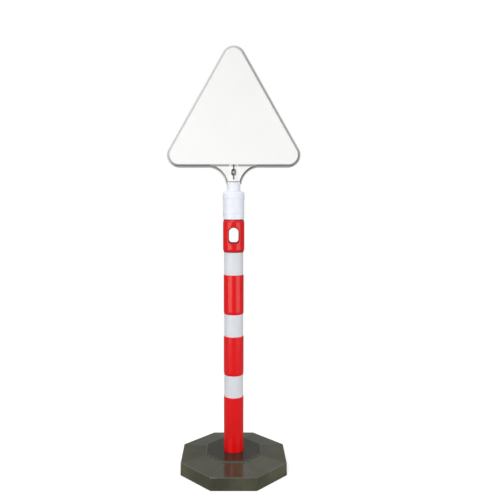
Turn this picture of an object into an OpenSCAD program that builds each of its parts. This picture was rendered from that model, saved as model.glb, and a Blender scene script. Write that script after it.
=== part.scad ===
// Portable marker post with a blank triangular sign head.
// A heavy octagonal rubber base holds a hollow banded post with a hand grip.
// A stepped adaptor is pushed over the post's top, and the sign head swivels on it.
// Millimetres, +Z up, the front looks along -Y, the origin is the middle of the base's underside.

/* [Base] */
// Width across the flats at the top of the upright wall
base_flats = 400; // [320:5:480]
// How far the wall's foot stands out past its top
wall_draft = 1; // [0.5:0.5:4]
// Height of the upright wall, with its bevel
wall_h = 48.5; // [35:0.5:70]
// Bevel along the top edge of the wall
wall_bevel = 2.5; // [1:0.5:5]
// Rise of the eight sloping facets
slope_rise = 11; // [5:0.5:20]
// Width of the raised platform across its flats
platform_flats = 208; // [160:2:260]
// Height of the platform's step
step_h = 6.5; // [3:0.5:12]
// How far the step leans in towards the post
step_lean = 3; // [1:0.5:6]
// Rubber under the post's foot
socket_floor = 10; // [6:0.5:20]
// Lead-in round the mouth of the socket
socket_lead = 1.5; // [0.5:0.25:3]
// Radius of the drain hole under the socket
drain_r = 13; // [8:0.5:20]
// Depth of the eight pockets in the underside
pocket_depth = 6; // [2:0.5:9]
// Width of the ribs between the pockets
pocket_rib = 20; // [10:1:40]
// Rubber between the pockets and the wall
pocket_margin = 28; // [15:1:45]
// Rubber between the pockets and the socket
pocket_inset = 34; // [15:1:45]

/* [Post] */
// Diameter of the post's plain sections
post_d = 76; // [64:0.5:90]
// How much the foot narrows towards its end, on the radius
foot_taper = 3; // [1:0.25:5]
// Wall of the hollow post
post_wall = 3; // [2:0.25:4]
// Length of the plain section above the platform
lower_run = 214; // [150:1:260]
// Height of each recess for a reflective band
band_h = 86; // [60:1:110]
// Distance from one band to the next
band_pitch = 236; // [190:1:280]
// Depth of a band's surface below the plain sections
band_recess = 2; // [1:0.25:4]
// Thickness of the reflective sheet
film_t = 0.6; // [0.3:0.1:1.2]
// Gap between the sheet and the ends of its recess
film_margin = 0.5; // [0.25:0.25:2]
// Adhesive between the sheet and the post
film_glue = 0.15; // [0.05:0.05:0.3]
// Gap at the sheet's seam, at the back
film_seam = 1.5; // [0.5:0.25:4]
// Height of the taper at the lower end of each plain section
skirt_h = 9; // [4:0.5:16]
// Bevel at the upper end of each plain section
collar_bevel = 1.4; // [0.5:0.1:2]
// Radius of the moulding hole in the foot
moulding_hole_r = 6; // [3:0.5:9]

/* [Hand grip] */
// How far the grip block stands out past the post
grip_step = 2.3; // [1:0.1:5]
// Height of the grip block
grip_h = 124; // [105:1:150]
// Height of the block's upper and lower tapers
grip_taper_h = 10; // [5:0.5:15]
// Width of the slot for the hand
slot_w = 36; // [28:1:44]
// Height of the slot
slot_h = 58; // [48:1:70]
// Height of the slot's lower edge above the block's lower end
slot_rise = 35; // [26:1:42]
// Radius of the slot's lower corners
slot_corner_r = 12; // [6:0.5:14]
// Depth of the flat relief round the slot's mouths
relief_depth = 1.2; // [0.6:0.1:1.8]
// Reach of the relief past the slot's edge
relief_reach = 9; // [4:0.5:14]

/* [Adaptor] */
// Height of the spigot on the post's top
spigot_h = 66; // [45:1:85]
// How far the spigot stands in from the post's surface
spigot_step = 3; // [2:0.25:6]
// Wall of the adaptor's skirt at its lower edge
skirt_wall = 4; // [3:0.25:6]
// How much wider the skirt is at its shoulder, on the radius
skirt_flare = 1; // [0.5:0.25:2]
// Height of the adaptor from its lower edge to its shoulder
adaptor_h = 104; // [92:1:120]
// Radius of the rounded shoulder
shoulder_r = 10; // [6:0.5:13]
// Diameter of the adaptor's neck
neck_d = 50; // [48:0.5:54]
// Height of the neck
neck_h = 34; // [26:1:44]
// Radius of the hollow curve at the neck's foot
neck_fillet_r = 4; // [2:0.5:6]
// Wall of the neck
neck_wall = 6; // [4:0.5:8]
// Height of each moulded ring round the skirt
bead_h = 11; // [7:0.5:14]
// How far the rings stand out
bead_proud = 0.9; // [0.4:0.1:1.5]
// Height of the lower ring's middle above the skirt's lower edge
lower_bead_rise = 26; // [18:1:32]
// Drop from the shoulder's top to the upper ring's middle
upper_bead_drop = 23; // [19:1:30]

/* [Swivel] */
// Step from the stub's radius out to its flange
flange_step = 3.3; // [2:0.1:4]
// Thickness of the flange
flange_h = 8; // [5:0.5:10]
// Thickness of the ring in the sign's foot that holds the flange
keeper_h = 6; // [4:0.5:7]
// Radius of the hole through the stub
stub_bore_r = 8; // [4:0.5:9]
// Thickness of the friction ring between the neck and the sign's foot
ring_t = 1.2; // [0.8:0.1:2]
// How far the ring stays in from the neck's edge
ring_inset = 0.8; // [0.4:0.1:2]

/* [Sign head] */
// Side of the triangle, measured to its sharp corners
sign_side = 561.5; // [450:0.5:700]
// Radius of the triangle's corners
corner_r = 45; // [36:0.5:56]
// Thickness over both face panels
sign_t = 44; // [36:0.5:54]
// Thickness of each face panel
panel_t = 3; // [2:0.25:5]
// Bevel along a panel's edge
panel_bevel = 2; // [0.5:0.1:2.2]
// Width of the rim round each panel
rim_w = 10.5; // [9:0.5:18]
// Flat ledge between a panel and the rim's slope
rim_ledge = 0.5; // [0.25:0.25:3]
// Depth at which the rim's slope, carried on outwards, would meet its upright edge
rim_edge = 9; // [7:0.5:11]
// Width of the flatter brim outside the rim's slope
brim_w = 6; // [4:0.5:7]
// How much the brim rises from its edge to the slope
brim_lean = 2.5; // [1:0.25:4]
// Radius between the upright edge and the brim
rim_round = 1.5; // [1:0.25:2.5]
// Wall of the shells
shell_wall = 3; // [2:0.25:3.5]
// Thickness of the ribs inside the shells
rib_t = 2.5; // [1.5:0.25:4]
// Depth of the ribs below the face
rib_depth = 8; // [4:0.5:11]

/* [Sign neck] */
// Height from the sign's foot to the triangle's lower edge
neck_rise = 54; // [50:0.5:75]
// How far the webs' flat front lies behind the rim's ledge
web_step = 1; // [0.5:0.25:4]
// How far below the sign's foot the webs' arcs are centred
flare_drop = 17; // [10:0.5:25]
// Half width of the webs at the level of their arcs' centres
flare_foot = 28.5; // [27:0.25:31]
// How steeply the webs meet the triangle, as an overlap
flare_bite = 0.8; // [0.4:0.1:2]
// How far the webs reach down past the sign's foot, on both sides of the adaptor's neck
ear_drop = 8; // [4:0.5:14]
// Radius of the round column between the webs
column_r = 23; // [21.5:0.25:24]
// Wall of the column
column_wall = 3.7; // [2.5:0.1:4.5]
// Width of the groove down the column
groove_w = 5; // [2:0.25:6]
// Depth of the groove
groove_depth = 2; // [1:0.25:2.5]
// Height of the groove's lower end above the sign's foot
groove_rise = 8; // [4:0.5:14]
// Height of the clamp screw above the sign's foot
clamp_rise = 35; // [32:0.5:40]
// Width of the oval recess round the clamp screw
recess_w = 20.5; // [17:0.5:22]
// Height of the oval recess
recess_h = 28.5; // [23:0.5:30]
// Depth of the oval recess below the column's front
recess_depth = 6; // [5:0.25:7]

/* [Fasteners] */
// Radius of the clamp screw's shank
clamp_r = 3; // [2:0.25:4]
// Radius of the clamp screw's head
clamp_head_r = 5.5; // [4.5:0.25:7]
// Height of the clamp screw's head
clamp_head_h = 3.6; // [2.5:0.1:4]
// Width of the hexagon socket in its head, across the flats
clamp_key = 4; // [3:0.5:5]
// Radius of the washers
washer_r = 7.5; // [6.5:0.25:8]
// Thickness of the washers
washer_t = 1.4; // [0.8:0.1:2]
// Width of the nut across its flats
nut_flats = 10; // [8:0.5:13]
// Thickness of the nut
nut_t = 3.8; // [3:0.1:5]
// Length of shank that shows past the nut
shank_spare = 0.6; // [0.2:0.1:1]
// Radius of the shell screws' shank
screw_r = 2; // [1.5:0.1:2.5]
// Radius of the shell screws' head
screw_head_r = 4; // [3:0.25:5]
// Height of the shell screws' head
screw_head_h = 2.6; // [2:0.1:3.2]
// Length of the shell screws' thread in the front shell
screw_grip = 12; // [8:0.5:14]
// Width of the slot in the shell screws' head
screw_slot_w = 1.2; // [0.8:0.1:1.6]
// Wall of the bosses round the screws
boss_wall = 3.5; // [2.5:0.25:5]

/* [Fits] */
// Clearance between pieces that slide or turn on each other
fit_gap = 0.3; // [0.2:0.05:0.5]
// Clearance round screws and nuts
screw_gap = 0.2; // [0.1:0.05:0.4]

/* [Hidden] */
$fn = 96;

// One overrun serves every cut
overrun = 1;

// Counts of what repeats
facet_count = 8;
band_count = 3;
corner_count = 3;
corner_facets = 36;

// Levels, from the floor up
slope_z = wall_h + slope_rise;
platform_z = slope_z + step_h;
lower_band_z = platform_z + lower_run;
band_levels = [for (i = [0 : band_count - 1]) lower_band_z + i * band_pitch];
grip_z = band_levels[band_count - 1] + band_h;
grip_top_z = grip_z + grip_h;
slot_z = grip_z + slot_rise;
spigot_top_z = grip_top_z + spigot_h;
adaptor_top_z = grip_top_z + adaptor_h;
neck_top_z = adaptor_top_z + neck_h;
sign_z = neck_top_z + ring_t;

// Heights of the sign's parts above its foot
flange_rise = keeper_h + fit_gap;
corner_rise = neck_rise + corner_r;

// Radii of the post and of what fits on it
post_r = post_d / 2;
foot_r = post_r - foot_taper;
film_outer_r = post_r - band_recess;
film_inner_r = film_outer_r - film_t;
recess_r = film_inner_r - film_glue;
skirt_r = film_outer_r + film_t;
grip_r = post_r + grip_step;
spigot_r = post_r - spigot_step;
spigot_bevel = post_wall / 2;
foot_bevel = post_wall / 2;
skirt_bore_r = spigot_r + fit_gap;
skirt_foot_r = skirt_bore_r + skirt_wall;
skirt_top_r = skirt_foot_r + skirt_flare;
neck_r = neck_d / 2;
neck_core_r = neck_r - neck_wall;
column_core_r = column_r - column_wall;
flange_r = column_core_r - fit_gap;
stub_r = flange_r - flange_step;

// The triangle's corner centres, with the sign laid on its back in X and Y and its foot at Y zero
centre_side = sign_side - 2 * sqrt(3) * corner_r;
centroid_rise = corner_rise + centre_side / (2 * sqrt(3));
corners = [
    [-centre_side / 2, corner_rise],
    [centre_side / 2, corner_rise],
    [0, corner_rise + centre_side * sqrt(3) / 2]
];

// Depths in front of the plane where the two shells meet
half_t = sign_t / 2;
face_depth = half_t - panel_t;
panel_u = corner_r - rim_w;
web_depth = face_depth - web_step;
recess_floor = column_r - recess_depth;
head_seat_depth = face_depth - screw_head_h - screw_gap;
boss_r = screw_head_r + screw_gap + boss_wall;
clamp_boss_r = clamp_r + screw_gap + boss_wall;

// The slope between the rim's brim and its ledge, and the same slope and brim along the webs
slope_run = rim_w - rim_ledge;
slope_drop = face_depth - rim_edge;
slope_angle = atan2(slope_run, slope_drop);
wall_reach = shell_wall * tan(slope_angle / 2);
brim_depth = slope_depth(brim_w);
brim_edge = brim_depth - brim_lean;
brim_angle = atan2(brim_w, brim_lean);
round_reach = rim_round * tan(brim_angle / 2);
column_top = neck_rise + slope_run + rim_ledge / 2;
flare_r = neck_rise + flare_bite + flare_drop;

// How far the slope has come in at a depth, and its depth that far in
function slope_in(depth) = (depth - rim_edge) * slope_run / slope_drop;
function slope_depth(run) = rim_edge + run * slope_drop / slope_run;

// Half of the base's outline seen square to a flat, from the floor up to the platform
base_half_outline = [
    [base_flats / 2 + wall_draft, 0],
    [base_flats / 2, wall_h - wall_bevel],
    [base_flats / 2 - wall_bevel, wall_h],
    [platform_flats / 2 + step_lean, slope_z],
    [platform_flats / 2, platform_z]
];
base_outline = [
    for (p = base_half_outline) p,
    for (i = [len(base_half_outline) - 1 : -1 : 0]) [-base_half_outline[i][0], base_half_outline[i][1]]
];

// The outline runs across the base, and the runs across each pair of flats cut the octagon out
module octagon_block() {
    reach = base_flats + wall_draft;
    intersection_for (i = [0 : facet_count / 2 - 1])
        rotate([0, 0, i * 360 / facet_count])
            translate([0, reach, 0])
                rotate([90, 0, 0])
                    linear_extrude(height = 2 * reach)
                        polygon(base_outline);
}

// Pockets that lighten the underside, one under each facet
module base_pockets() {
    inner = post_r + pocket_inset;
    outer = base_flats / 2 - pocket_margin;
    lean = tan(180 / facet_count);
    shrink = pocket_rib / 2 / cos(180 / facet_count);
    for (i = [0 : facet_count - 1])
        rotate([0, 0, i * 360 / facet_count])
            translate([0, 0, -overrun])
                linear_extrude(height = pocket_depth + overrun)
                    polygon([
                        [inner, shrink - inner * lean],
                        [outer, shrink - outer * lean],
                        [outer, outer * lean - shrink],
                        [inner, inner * lean - shrink]
                    ]);
}

// Tapered hole for the post's foot, with a lead-in at its mouth and a drain below
module base_socket() {
    rotate_extrude()
        polygon([
            [0, -overrun],
            [drain_r, -overrun],
            [drain_r, socket_floor],
            [foot_r + fit_gap, socket_floor],
            [post_r + fit_gap, platform_z - socket_lead],
            [post_r + fit_gap + socket_lead, platform_z],
            [post_r + fit_gap + socket_lead, platform_z + overrun],
            [0, platform_z + overrun]
        ]);
}

module base_block() {
    color("#53554a")
        difference() {
            octagon_block();
            base_socket();
            base_pockets();
        }
}

// Outline of the post from its foot to the spigot, as radius and height
function band_outline(z) = [
    [post_r, z - collar_bevel],
    [post_r - collar_bevel, z],
    [recess_r, z],
    [recess_r, z + band_h]
];

post_outline = [
    [0, socket_floor],
    [foot_r - foot_bevel, socket_floor],
    [foot_r, socket_floor + foot_bevel],
    [post_r, platform_z],
    for (i = [0 : band_count - 1]) each [
        each band_outline(band_levels[i]),
        if (i < band_count - 1) each [
            [skirt_r, band_levels[i] + band_h],
            [post_r, band_levels[i] + band_h + skirt_h]
        ]
    ],
    [skirt_r, grip_z],
    [grip_r, grip_z + grip_taper_h],
    [grip_r, grip_top_z - grip_taper_h],
    [post_r - collar_bevel, grip_top_z],
    [spigot_r, grip_top_z],
    [spigot_r, spigot_top_z - spigot_bevel],
    [spigot_r - spigot_bevel, spigot_top_z],
    [0, spigot_top_z]
];

// Outline of the hollow inside, one wall in from the outside
function band_hollow(z) = [
    [post_r - post_wall, z - post_wall],
    [recess_r - post_wall, z],
    [recess_r - post_wall, z + band_h]
];

post_hollow = [
    [0, socket_floor + post_wall],
    [foot_r - foot_bevel - post_wall, socket_floor + post_wall],
    [post_r - post_wall, platform_z],
    for (i = [0 : band_count - 1]) each [
        each band_hollow(band_levels[i]),
        if (i < band_count - 1) [post_r - post_wall, band_levels[i] + band_h + skirt_h]
    ],
    [grip_r - post_wall, grip_z + grip_taper_h],
    [grip_r - post_wall, grip_top_z - grip_taper_h],
    [spigot_r - post_wall, grip_top_z - post_wall],
    [spigot_r - post_wall, spigot_top_z - post_wall],
    [0, spigot_top_z - post_wall]
];

// Outline of the hand slot: a round top and a flatter foot with rounded corners
module slot_outline(grow) {
    top_r = slot_w / 2;
    straight = slot_h - top_r - slot_corner_r;
    corner_x = top_r - slot_corner_r;
    translate([0, slot_z + slot_h - top_r])
        circle(r = top_r + grow);
    for (side = [-1, 1])
        translate([side * corner_x, slot_z + slot_corner_r])
            circle(r = slot_corner_r + grow);
    translate([-top_r - grow, slot_z + slot_corner_r])
        square([slot_w + 2 * grow, straight]);
    translate([-corner_x, slot_z - grow])
        square([2 * corner_x, slot_corner_r + grow]);
}

// Prism through the grip from front to back
module slot_prism(grow) {
    reach = grip_r + overrun;
    translate([0, reach, 0])
        rotate([90, 0, 0])
            linear_extrude(height = 2 * reach)
                slot_outline(grow);
}

// Flat relief round the slot's mouth, at the front and at the back
module slot_relief() {
    floor_y = grip_r - relief_depth;
    for (side = [0, 180])
        rotate([0, 0, side])
            translate([0, -floor_y, 0])
                rotate([90, 0, 0])
                    linear_extrude(height = relief_depth + overrun)
                        slot_outline(relief_reach);
}

module post_tube() {
    color("#e01c20")
        difference() {
            union() {
                difference() {
                    rotate_extrude() polygon(post_outline);
                    rotate_extrude() polygon(post_hollow);
                }
                intersection() {
                    rotate_extrude() polygon(post_outline);
                    slot_prism(post_wall);
                }
            }
            slot_prism(0);
            slot_relief();
            translate([0, 0, socket_floor - overrun])
                cylinder(r = moulding_hole_r, h = post_wall + 2 * overrun);
        }
}

// Reflective sheet wrapped round the post, with its seam at the back
module reflective_band(z) {
    color("#d6dade")
        difference() {
            translate([0, 0, z + film_margin])
                rotate_extrude()
                    translate([film_inner_r, 0])
                        square([film_t, band_h - 2 * film_margin]);
            translate([-film_seam / 2, 0, z])
                cube([film_seam, film_outer_r + overrun, band_h]);
        }
}

module lower_band() reflective_band(band_levels[0]);
module middle_band() reflective_band(band_levels[1]);
module upper_band() reflective_band(band_levels[2]);

// Rounded ring on the skirt, as the part of a circle that stands out
module bead_section(r, z) {
    arc_r = (pow(bead_h / 2, 2) + pow(bead_proud, 2)) / (2 * bead_proud);
    intersection() {
        translate([r + bead_proud - arc_r, z])
            circle(r = arc_r);
        translate([r - skirt_wall / 2, z - bead_h])
            square([skirt_wall, 2 * bead_h]);
    }
}

function skirt_r_at(rise) = skirt_foot_r + skirt_flare * rise / (adaptor_h - shoulder_r);

// Half section of the adaptor: skirt, rounded shoulder, neck, stub and flange
module adaptor_section() {
    upper_bead_rise = adaptor_h - upper_bead_drop;
    neck_top = adaptor_h + neck_h;
    flange_foot = neck_top + ring_t + flange_rise;
    flange_top = flange_foot + flange_h;
    polygon([
        [0, 0],
        [skirt_foot_r, 0],
        [skirt_top_r, adaptor_h - shoulder_r],
        [skirt_top_r - shoulder_r, adaptor_h],
        [0, adaptor_h]
    ]);
    translate([skirt_top_r - shoulder_r, adaptor_h - shoulder_r])
        circle(r = shoulder_r);
    bead_section(skirt_r_at(lower_bead_rise), lower_bead_rise);
    bead_section(skirt_r_at(upper_bead_rise), upper_bead_rise);
    square([neck_r, neck_top]);
    difference() {
        translate([0, adaptor_h - neck_fillet_r])
            square([neck_r + neck_fillet_r, 2 * neck_fillet_r]);
        translate([neck_r + neck_fillet_r, adaptor_h + neck_fillet_r])
            circle(r = neck_fillet_r);
    }
    square([stub_r, flange_foot + flange_h / 2]);
    polygon([
        [0, flange_foot],
        [flange_r, flange_foot],
        [flange_r, flange_top - flange_h / 4],
        [flange_r - flange_h / 4, flange_top],
        [0, flange_top]
    ]);
}

// Half section of the adaptor's bore: the post's spigot, the neck's core and the stub's hole
module adaptor_bore_section() {
    bore_h = spigot_h + skirt_wall;
    neck_top = adaptor_h + neck_h;
    translate([0, -overrun])
        square([skirt_bore_r, bore_h + overrun]);
    square([neck_core_r, neck_top - neck_wall]);
    square([stub_bore_r, neck_top + ring_t + flange_rise + flange_h + overrun]);
}

module adaptor() {
    color("#eef0f4")
        translate([0, 0, grip_top_z])
            rotate_extrude()
                difference() {
                    adaptor_section();
                    adaptor_bore_section();
                }
}

// Ring that the sign turns on
module swivel_ring() {
    color("#4a4c4e")
        translate([0, 0, neck_top_z])
            rotate_extrude()
                translate([stub_r + fit_gap, 0])
                    square([neck_r - ring_inset - stub_r - fit_gap, ring_t]);
}

// Triangle with round corners, from a section given as distance from the corners' centres and depth
module rounded_triangle() {
    hull()
        for (corner = corners)
            translate(corner)
                rotate_extrude($fn = corner_facets)
                    children();
}

// Section of the brim: upright edge, rounded corner and a shallow lean that runs on under the slope
module brim_section() {
    inner = brim_w * 4 / 3;
    inner_depth = brim_edge + inner * brim_lean / brim_w;
    polygon([
        [0, 0],
        [corner_r, 0],
        [corner_r, brim_edge - round_reach],
        [corner_r - round_reach * sin(brim_angle), brim_edge + round_reach * cos(brim_angle)],
        [corner_r - inner, inner_depth],
        [0, inner_depth]
    ]);
    translate([corner_r - rim_round, brim_edge - round_reach])
        circle(r = rim_round, $fn = corner_facets);
}

// Section of the raised body inside the brim, whose slope starts under the brim and ends at the ledge
module raised_section() {
    start = brim_w / 2;
    polygon([
        [0, 0],
        [corner_r - start, 0],
        [corner_r - start, slope_depth(start)],
        [corner_r - slope_run, face_depth],
        [0, face_depth]
    ]);
}

// Section of the hollow behind the rim and the face
module hollow_section() {
    mouth = -overrun;
    inner_r = corner_r - shell_wall;
    inner_depth = face_depth - shell_wall;
    polygon([
        [0, mouth],
        [inner_r, mouth],
        [inner_r, rim_edge - wall_reach],
        [inner_r - slope_in(inner_depth + wall_reach), inner_depth],
        [0, inner_depth]
    ]);
}

// Half of a turned shape on the column's axis, on the front side of the meeting plane
module half_turned() {
    rotate([-90, 0, 0])
        rotate([0, 0, 180])
            rotate_extrude(angle = 180)
                children();
}

// Round cutters for the webs' edges, with the rim's brim and slope, or one wall outside them for the hollow
module flare_cutters(wall) {
    r = flare_r + wall;
    reach = wall > 0 ? wall_reach : 0;
    front = web_depth - wall;
    edge = wall > 0 ? [[r, rim_edge - reach]] : [[r, brim_edge], [r + brim_w, brim_depth]];
    crease = r + slope_in(front + reach);
    outline = concat(
        [[0, -overrun], [r, -overrun]],
        edge,
        [[crease, front], [crease, front + overrun], [0, front + overrun]]
    );
    for (side = [-1, 1])
        translate([side * (flare_foot + flare_r), -flare_drop, 0])
            rotate_extrude()
                polygon(outline);
}

// Webs under the triangle on one side, from a height up into the rim
module webs(foot, wall) {
    half_w = flare_foot + flare_r;
    top = neck_rise + slope_in(web_depth) + rim_ledge / 2;
    difference() {
        translate([-half_w, foot, 0])
            cube([2 * half_w, top - foot, web_depth - wall]);
        flare_cutters(wall);
    }
}

// Outside of the neck on one side: webs with their ears, and the column
module neck_outside() {
    difference() {
        webs(-ear_drop, 0);
        half_turned()
            translate([0, -ear_drop - overrun])
                square([neck_r + fit_gap, ear_drop + overrun]);
    }
    half_turned()
        square([column_r, column_top]);
}

// Hollow of the neck on one side: inside the webs, the column and the ring that keeps the flange
module neck_hollow() {
    webs(keeper_h + shell_wall, shell_wall);
    half_turned() {
        translate([0, keeper_h])
            square([column_core_r, column_top - column_wall - keeper_h]);
        translate([0, -overrun])
            square([stub_r + fit_gap, keeper_h + 2 * overrun]);
    }
}

// Oval outline of the recess round the clamp screw
module recess_outline(grow) {
    for (side = [-1, 1])
        translate([0, clamp_rise + side * (recess_h - recess_w) / 2])
            circle(r = recess_w / 2 + grow);
    translate([-recess_w / 2 - grow, clamp_rise - (recess_h - recess_w) / 2])
        square([recess_w + 2 * grow, recess_h - recess_w]);
}

// Post of the moulding that the clamp screw passes through, with the floor of its recess
module clamp_boss() {
    translate([0, clamp_rise, 0])
        cylinder(r = clamp_boss_r, h = recess_floor);
    intersection() {
        translate([0, 0, recess_floor - shell_wall])
            linear_extrude(height = recess_depth + shell_wall)
                recess_outline(shell_wall);
        half_turned()
            translate([0, keeper_h])
                square([column_r, column_top - keeper_h]);
    }
}

// Ribs behind the face, from its middle to each corner boss, and the bosses
module shell_ribs() {
    spoke = centre_side / sqrt(3);
    rib_z = face_depth - rib_depth;
    rib_h = rib_depth - shell_wall / 2;
    for (i = [0 : corner_count - 1]) {
        translate(corners[i])
            cylinder(r = boss_r, h = face_depth - shell_wall / 2);
        translate([0, centroid_rise, rib_z])
            rotate([0, 0, i * 360 / corner_count - 150])
                translate([0, -rib_t / 2, 0])
                    cube([spoke, rib_t, rib_h]);
    }
}

// One half of the sign's hollow body, lying with its face up
module half_shell() {
    difference() {
        union() {
            rounded_triangle() brim_section();
            rounded_triangle() raised_section();
        }
        rounded_triangle() hollow_section();
    }
    shell_ribs();
    difference() {
        neck_outside();
        neck_hollow();
    }
    clamp_boss();
}

// Groove down the middle of the column's front
module column_groove() {
    translate([-groove_w / 2, groove_rise, column_r - groove_depth])
        cube([groove_w, column_top, groove_depth + overrun]);
}

module clamp_hole() {
    translate([0, clamp_rise, -overrun])
        cylinder(r = clamp_r + screw_gap, h = column_r + 2 * overrun);
}

// Stand a front or a rear part of the sign up on the adaptor
module stand_front() {
    translate([0, 0, sign_z])
        rotate([90, 0, 0])
            children();
}

module stand_rear() {
    mirror([0, 1, 0])
        stand_front()
            children();
}

// Oval recess for the head or the nut of the clamp screw
module clamp_recess() {
    translate([0, 0, recess_floor])
        linear_extrude(height = recess_depth + overrun)
            recess_outline(0);
}

module front_shell() {
    color("#f4f5f5")
        stand_front()
            difference() {
                half_shell();
                clamp_hole();
                column_groove();
                clamp_recess();
                for (corner = corners)
                    translate([corner[0], corner[1], -overrun])
                        cylinder(r = screw_r + screw_gap, h = screw_grip + screw_gap + overrun);
            }
}

module rear_shell() {
    color("#f4f5f5")
        stand_rear()
            difference() {
                half_shell();
                clamp_hole();
                clamp_recess();
                for (corner = corners)
                    translate([corner[0], corner[1], -overrun]) {
                        cylinder(r = screw_r + screw_gap, h = face_depth + overrun);
                        translate([0, 0, head_seat_depth + overrun])
                            cylinder(r = screw_head_r + screw_gap, h = face_depth);
                    }
            }
}

// Section of a face panel, with its bevelled edge
module panel_section() {
    polygon([
        [0, 0],
        [panel_u, 0],
        [panel_u, panel_t - panel_bevel],
        [panel_u - panel_bevel, panel_t],
        [0, panel_t]
    ]);
}

module face_panel() {
    color("#fafafa")
        translate([0, 0, face_depth])
            rounded_triangle()
                panel_section();
}

module front_panel() stand_front() face_panel();
module rear_panel() stand_rear() face_panel();

// Clamp screw through both halves of the neck, with its head at the front
module clamp_screw() {
    seat = recess_floor + washer_t;
    tail = seat + nut_t + shank_spare;
    color("#9da1a6")
        stand_front()
            translate([0, clamp_rise, 0])
                difference() {
                    union() {
                        translate([0, 0, -tail])
                            cylinder(r = clamp_r, h = tail + seat + clamp_head_h / 2);
                        translate([0, 0, seat])
                            cylinder(r = clamp_head_r, h = clamp_head_h);
                    }
                    translate([0, 0, seat + clamp_head_h / 2])
                        cylinder(r = clamp_key / 2 / cos(30), h = clamp_head_h, $fn = 6);
                }
}

// Plain washer, lying on the floor of a recess
module clamp_washer() {
    translate([0, clamp_rise, recess_floor])
        difference() {
            cylinder(r = washer_r, h = washer_t);
            translate([0, 0, -overrun])
                cylinder(r = clamp_r + screw_gap, h = washer_t + 2 * overrun);
        }
}

module clamp_washers() {
    color("#b4b8bc") {
        stand_front() clamp_washer();
        stand_rear() clamp_washer();
    }
}

module clamp_nut() {
    color("#9da1a6")
        stand_rear()
            translate([0, clamp_rise, recess_floor + washer_t])
                difference() {
                    cylinder(r = nut_flats / 2 / cos(30), h = nut_t, $fn = 6);
                    translate([0, 0, -overrun])
                        cylinder(r = clamp_r + screw_gap, h = nut_t + 2 * overrun);
                }
}

// One screw that joins the shells, with a slot in its head
module shell_screw() {
    slot_depth = screw_head_h / 2;
    difference() {
        union() {
            translate([0, 0, -screw_grip])
                cylinder(r = screw_r, h = screw_grip + head_seat_depth + slot_depth);
            translate([0, 0, head_seat_depth])
                cylinder(r = screw_head_r, h = screw_head_h);
        }
        translate([-screw_head_r, -screw_slot_w / 2, head_seat_depth + slot_depth])
            cube([2 * screw_head_r, screw_slot_w, screw_head_h]);
    }
}

// The screws sit in the three corners, under the rear panel
module shell_screws() {
    color("#9da1a6")
        stand_rear()
            for (corner = corners)
                translate([corner[0], corner[1], 0])
                    shell_screw();
}

base_block();
post_tube();
lower_band();
middle_band();
upper_band();
adaptor();
swivel_ring();
front_shell();
rear_shell();
front_panel();
rear_panel();
clamp_screw();
clamp_washers();
clamp_nut();
shell_screws();
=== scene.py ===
import math

import bmesh
import bpy
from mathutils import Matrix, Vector


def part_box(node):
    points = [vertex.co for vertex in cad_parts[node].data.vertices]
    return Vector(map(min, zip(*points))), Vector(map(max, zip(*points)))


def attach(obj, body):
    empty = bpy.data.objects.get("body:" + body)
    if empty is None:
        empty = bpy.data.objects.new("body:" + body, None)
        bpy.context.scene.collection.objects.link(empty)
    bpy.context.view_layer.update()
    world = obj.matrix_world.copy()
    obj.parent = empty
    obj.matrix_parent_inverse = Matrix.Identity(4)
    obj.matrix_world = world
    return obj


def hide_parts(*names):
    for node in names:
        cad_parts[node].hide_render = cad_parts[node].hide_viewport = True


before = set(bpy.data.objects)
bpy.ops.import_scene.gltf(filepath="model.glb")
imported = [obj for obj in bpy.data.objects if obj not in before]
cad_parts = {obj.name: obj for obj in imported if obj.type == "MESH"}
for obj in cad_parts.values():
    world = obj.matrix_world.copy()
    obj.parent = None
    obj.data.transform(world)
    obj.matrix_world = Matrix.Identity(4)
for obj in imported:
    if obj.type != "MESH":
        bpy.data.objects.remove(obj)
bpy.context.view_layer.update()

# Looks of a marker post with a blank triangular sign head, in metres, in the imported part's frame.

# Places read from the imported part
base_low, base_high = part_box("base_block")
post_low, post_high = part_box("post_tube")
adaptor_low, adaptor_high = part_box("adaptor")
ring_low, ring_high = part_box("swivel_ring")
shell_low, shell_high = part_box("front_shell")
panel_low, panel_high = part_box("front_panel")
screw_low, screw_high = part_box("clamp_screw")
nut_low, nut_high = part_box("clamp_nut")
washer_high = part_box("clamp_washers")[1]
band_boxes = {name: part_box(name + "_band") for name in ("lower", "middle", "upper")}

# Base
BASE_SIDES = 8
WALL_DRAFT = 0.001
WALL_HEIGHT = 0.0485
WALL_ROUND = 0.0025
FACET_TOP = 0.0595
STEP_LEAN = 0.003
PLATFORM_HALF = 0.104
EDGE_ROUND = 0.0016
EDGE_LEAST_TURN = math.radians(3)
SOCKET_FLOOR = 0.010
SOCKET_LEAD = 0.0015
DRAIN_RADIUS = 0.013
POCKET_DEPTH = 0.006
POCKET_RIB = 0.020
POCKET_MARGIN = 0.028
POCKET_INSET = 0.034
POCKET_ROUND = 0.006

# Post
POST_SIDES = 128
POST_RADIUS = 0.038
FOOT_TAPER = 0.003
FOOT_BEVEL = 0.0015
FILM_MARGIN = 0.0005
FILM_THICKNESS = 0.0006
FILM_GLUE = 0.00015
FILM_RADIUS = band_boxes["lower"][1].x
WRAP_RADIUS = 0.036
SKIRT_HEIGHT = 0.009
SKIRT_RADIUS = FILM_RADIUS + FILM_THICKNESS
SKIRT_SOFT = 0.0005
TOP_BEVEL = 0.0014
TOP_SOFT = 0.0007
LEDGE_SOFT = 0.0004
TAPER_ROUND = 0.003
GRIP_TAPER = 0.010
GRIP_RADIUS = post_high.x
GRIP_FOOT = band_boxes["upper"][1].z + FILM_MARGIN
GRIP_TOP = adaptor_low.z
SPIGOT_STEP = 0.003
SPIGOT_BEVEL = 0.0015
MOULDING_HOLE_RADIUS = 0.006
MOULDING_HOLE_DEPTH = 0.020

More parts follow.
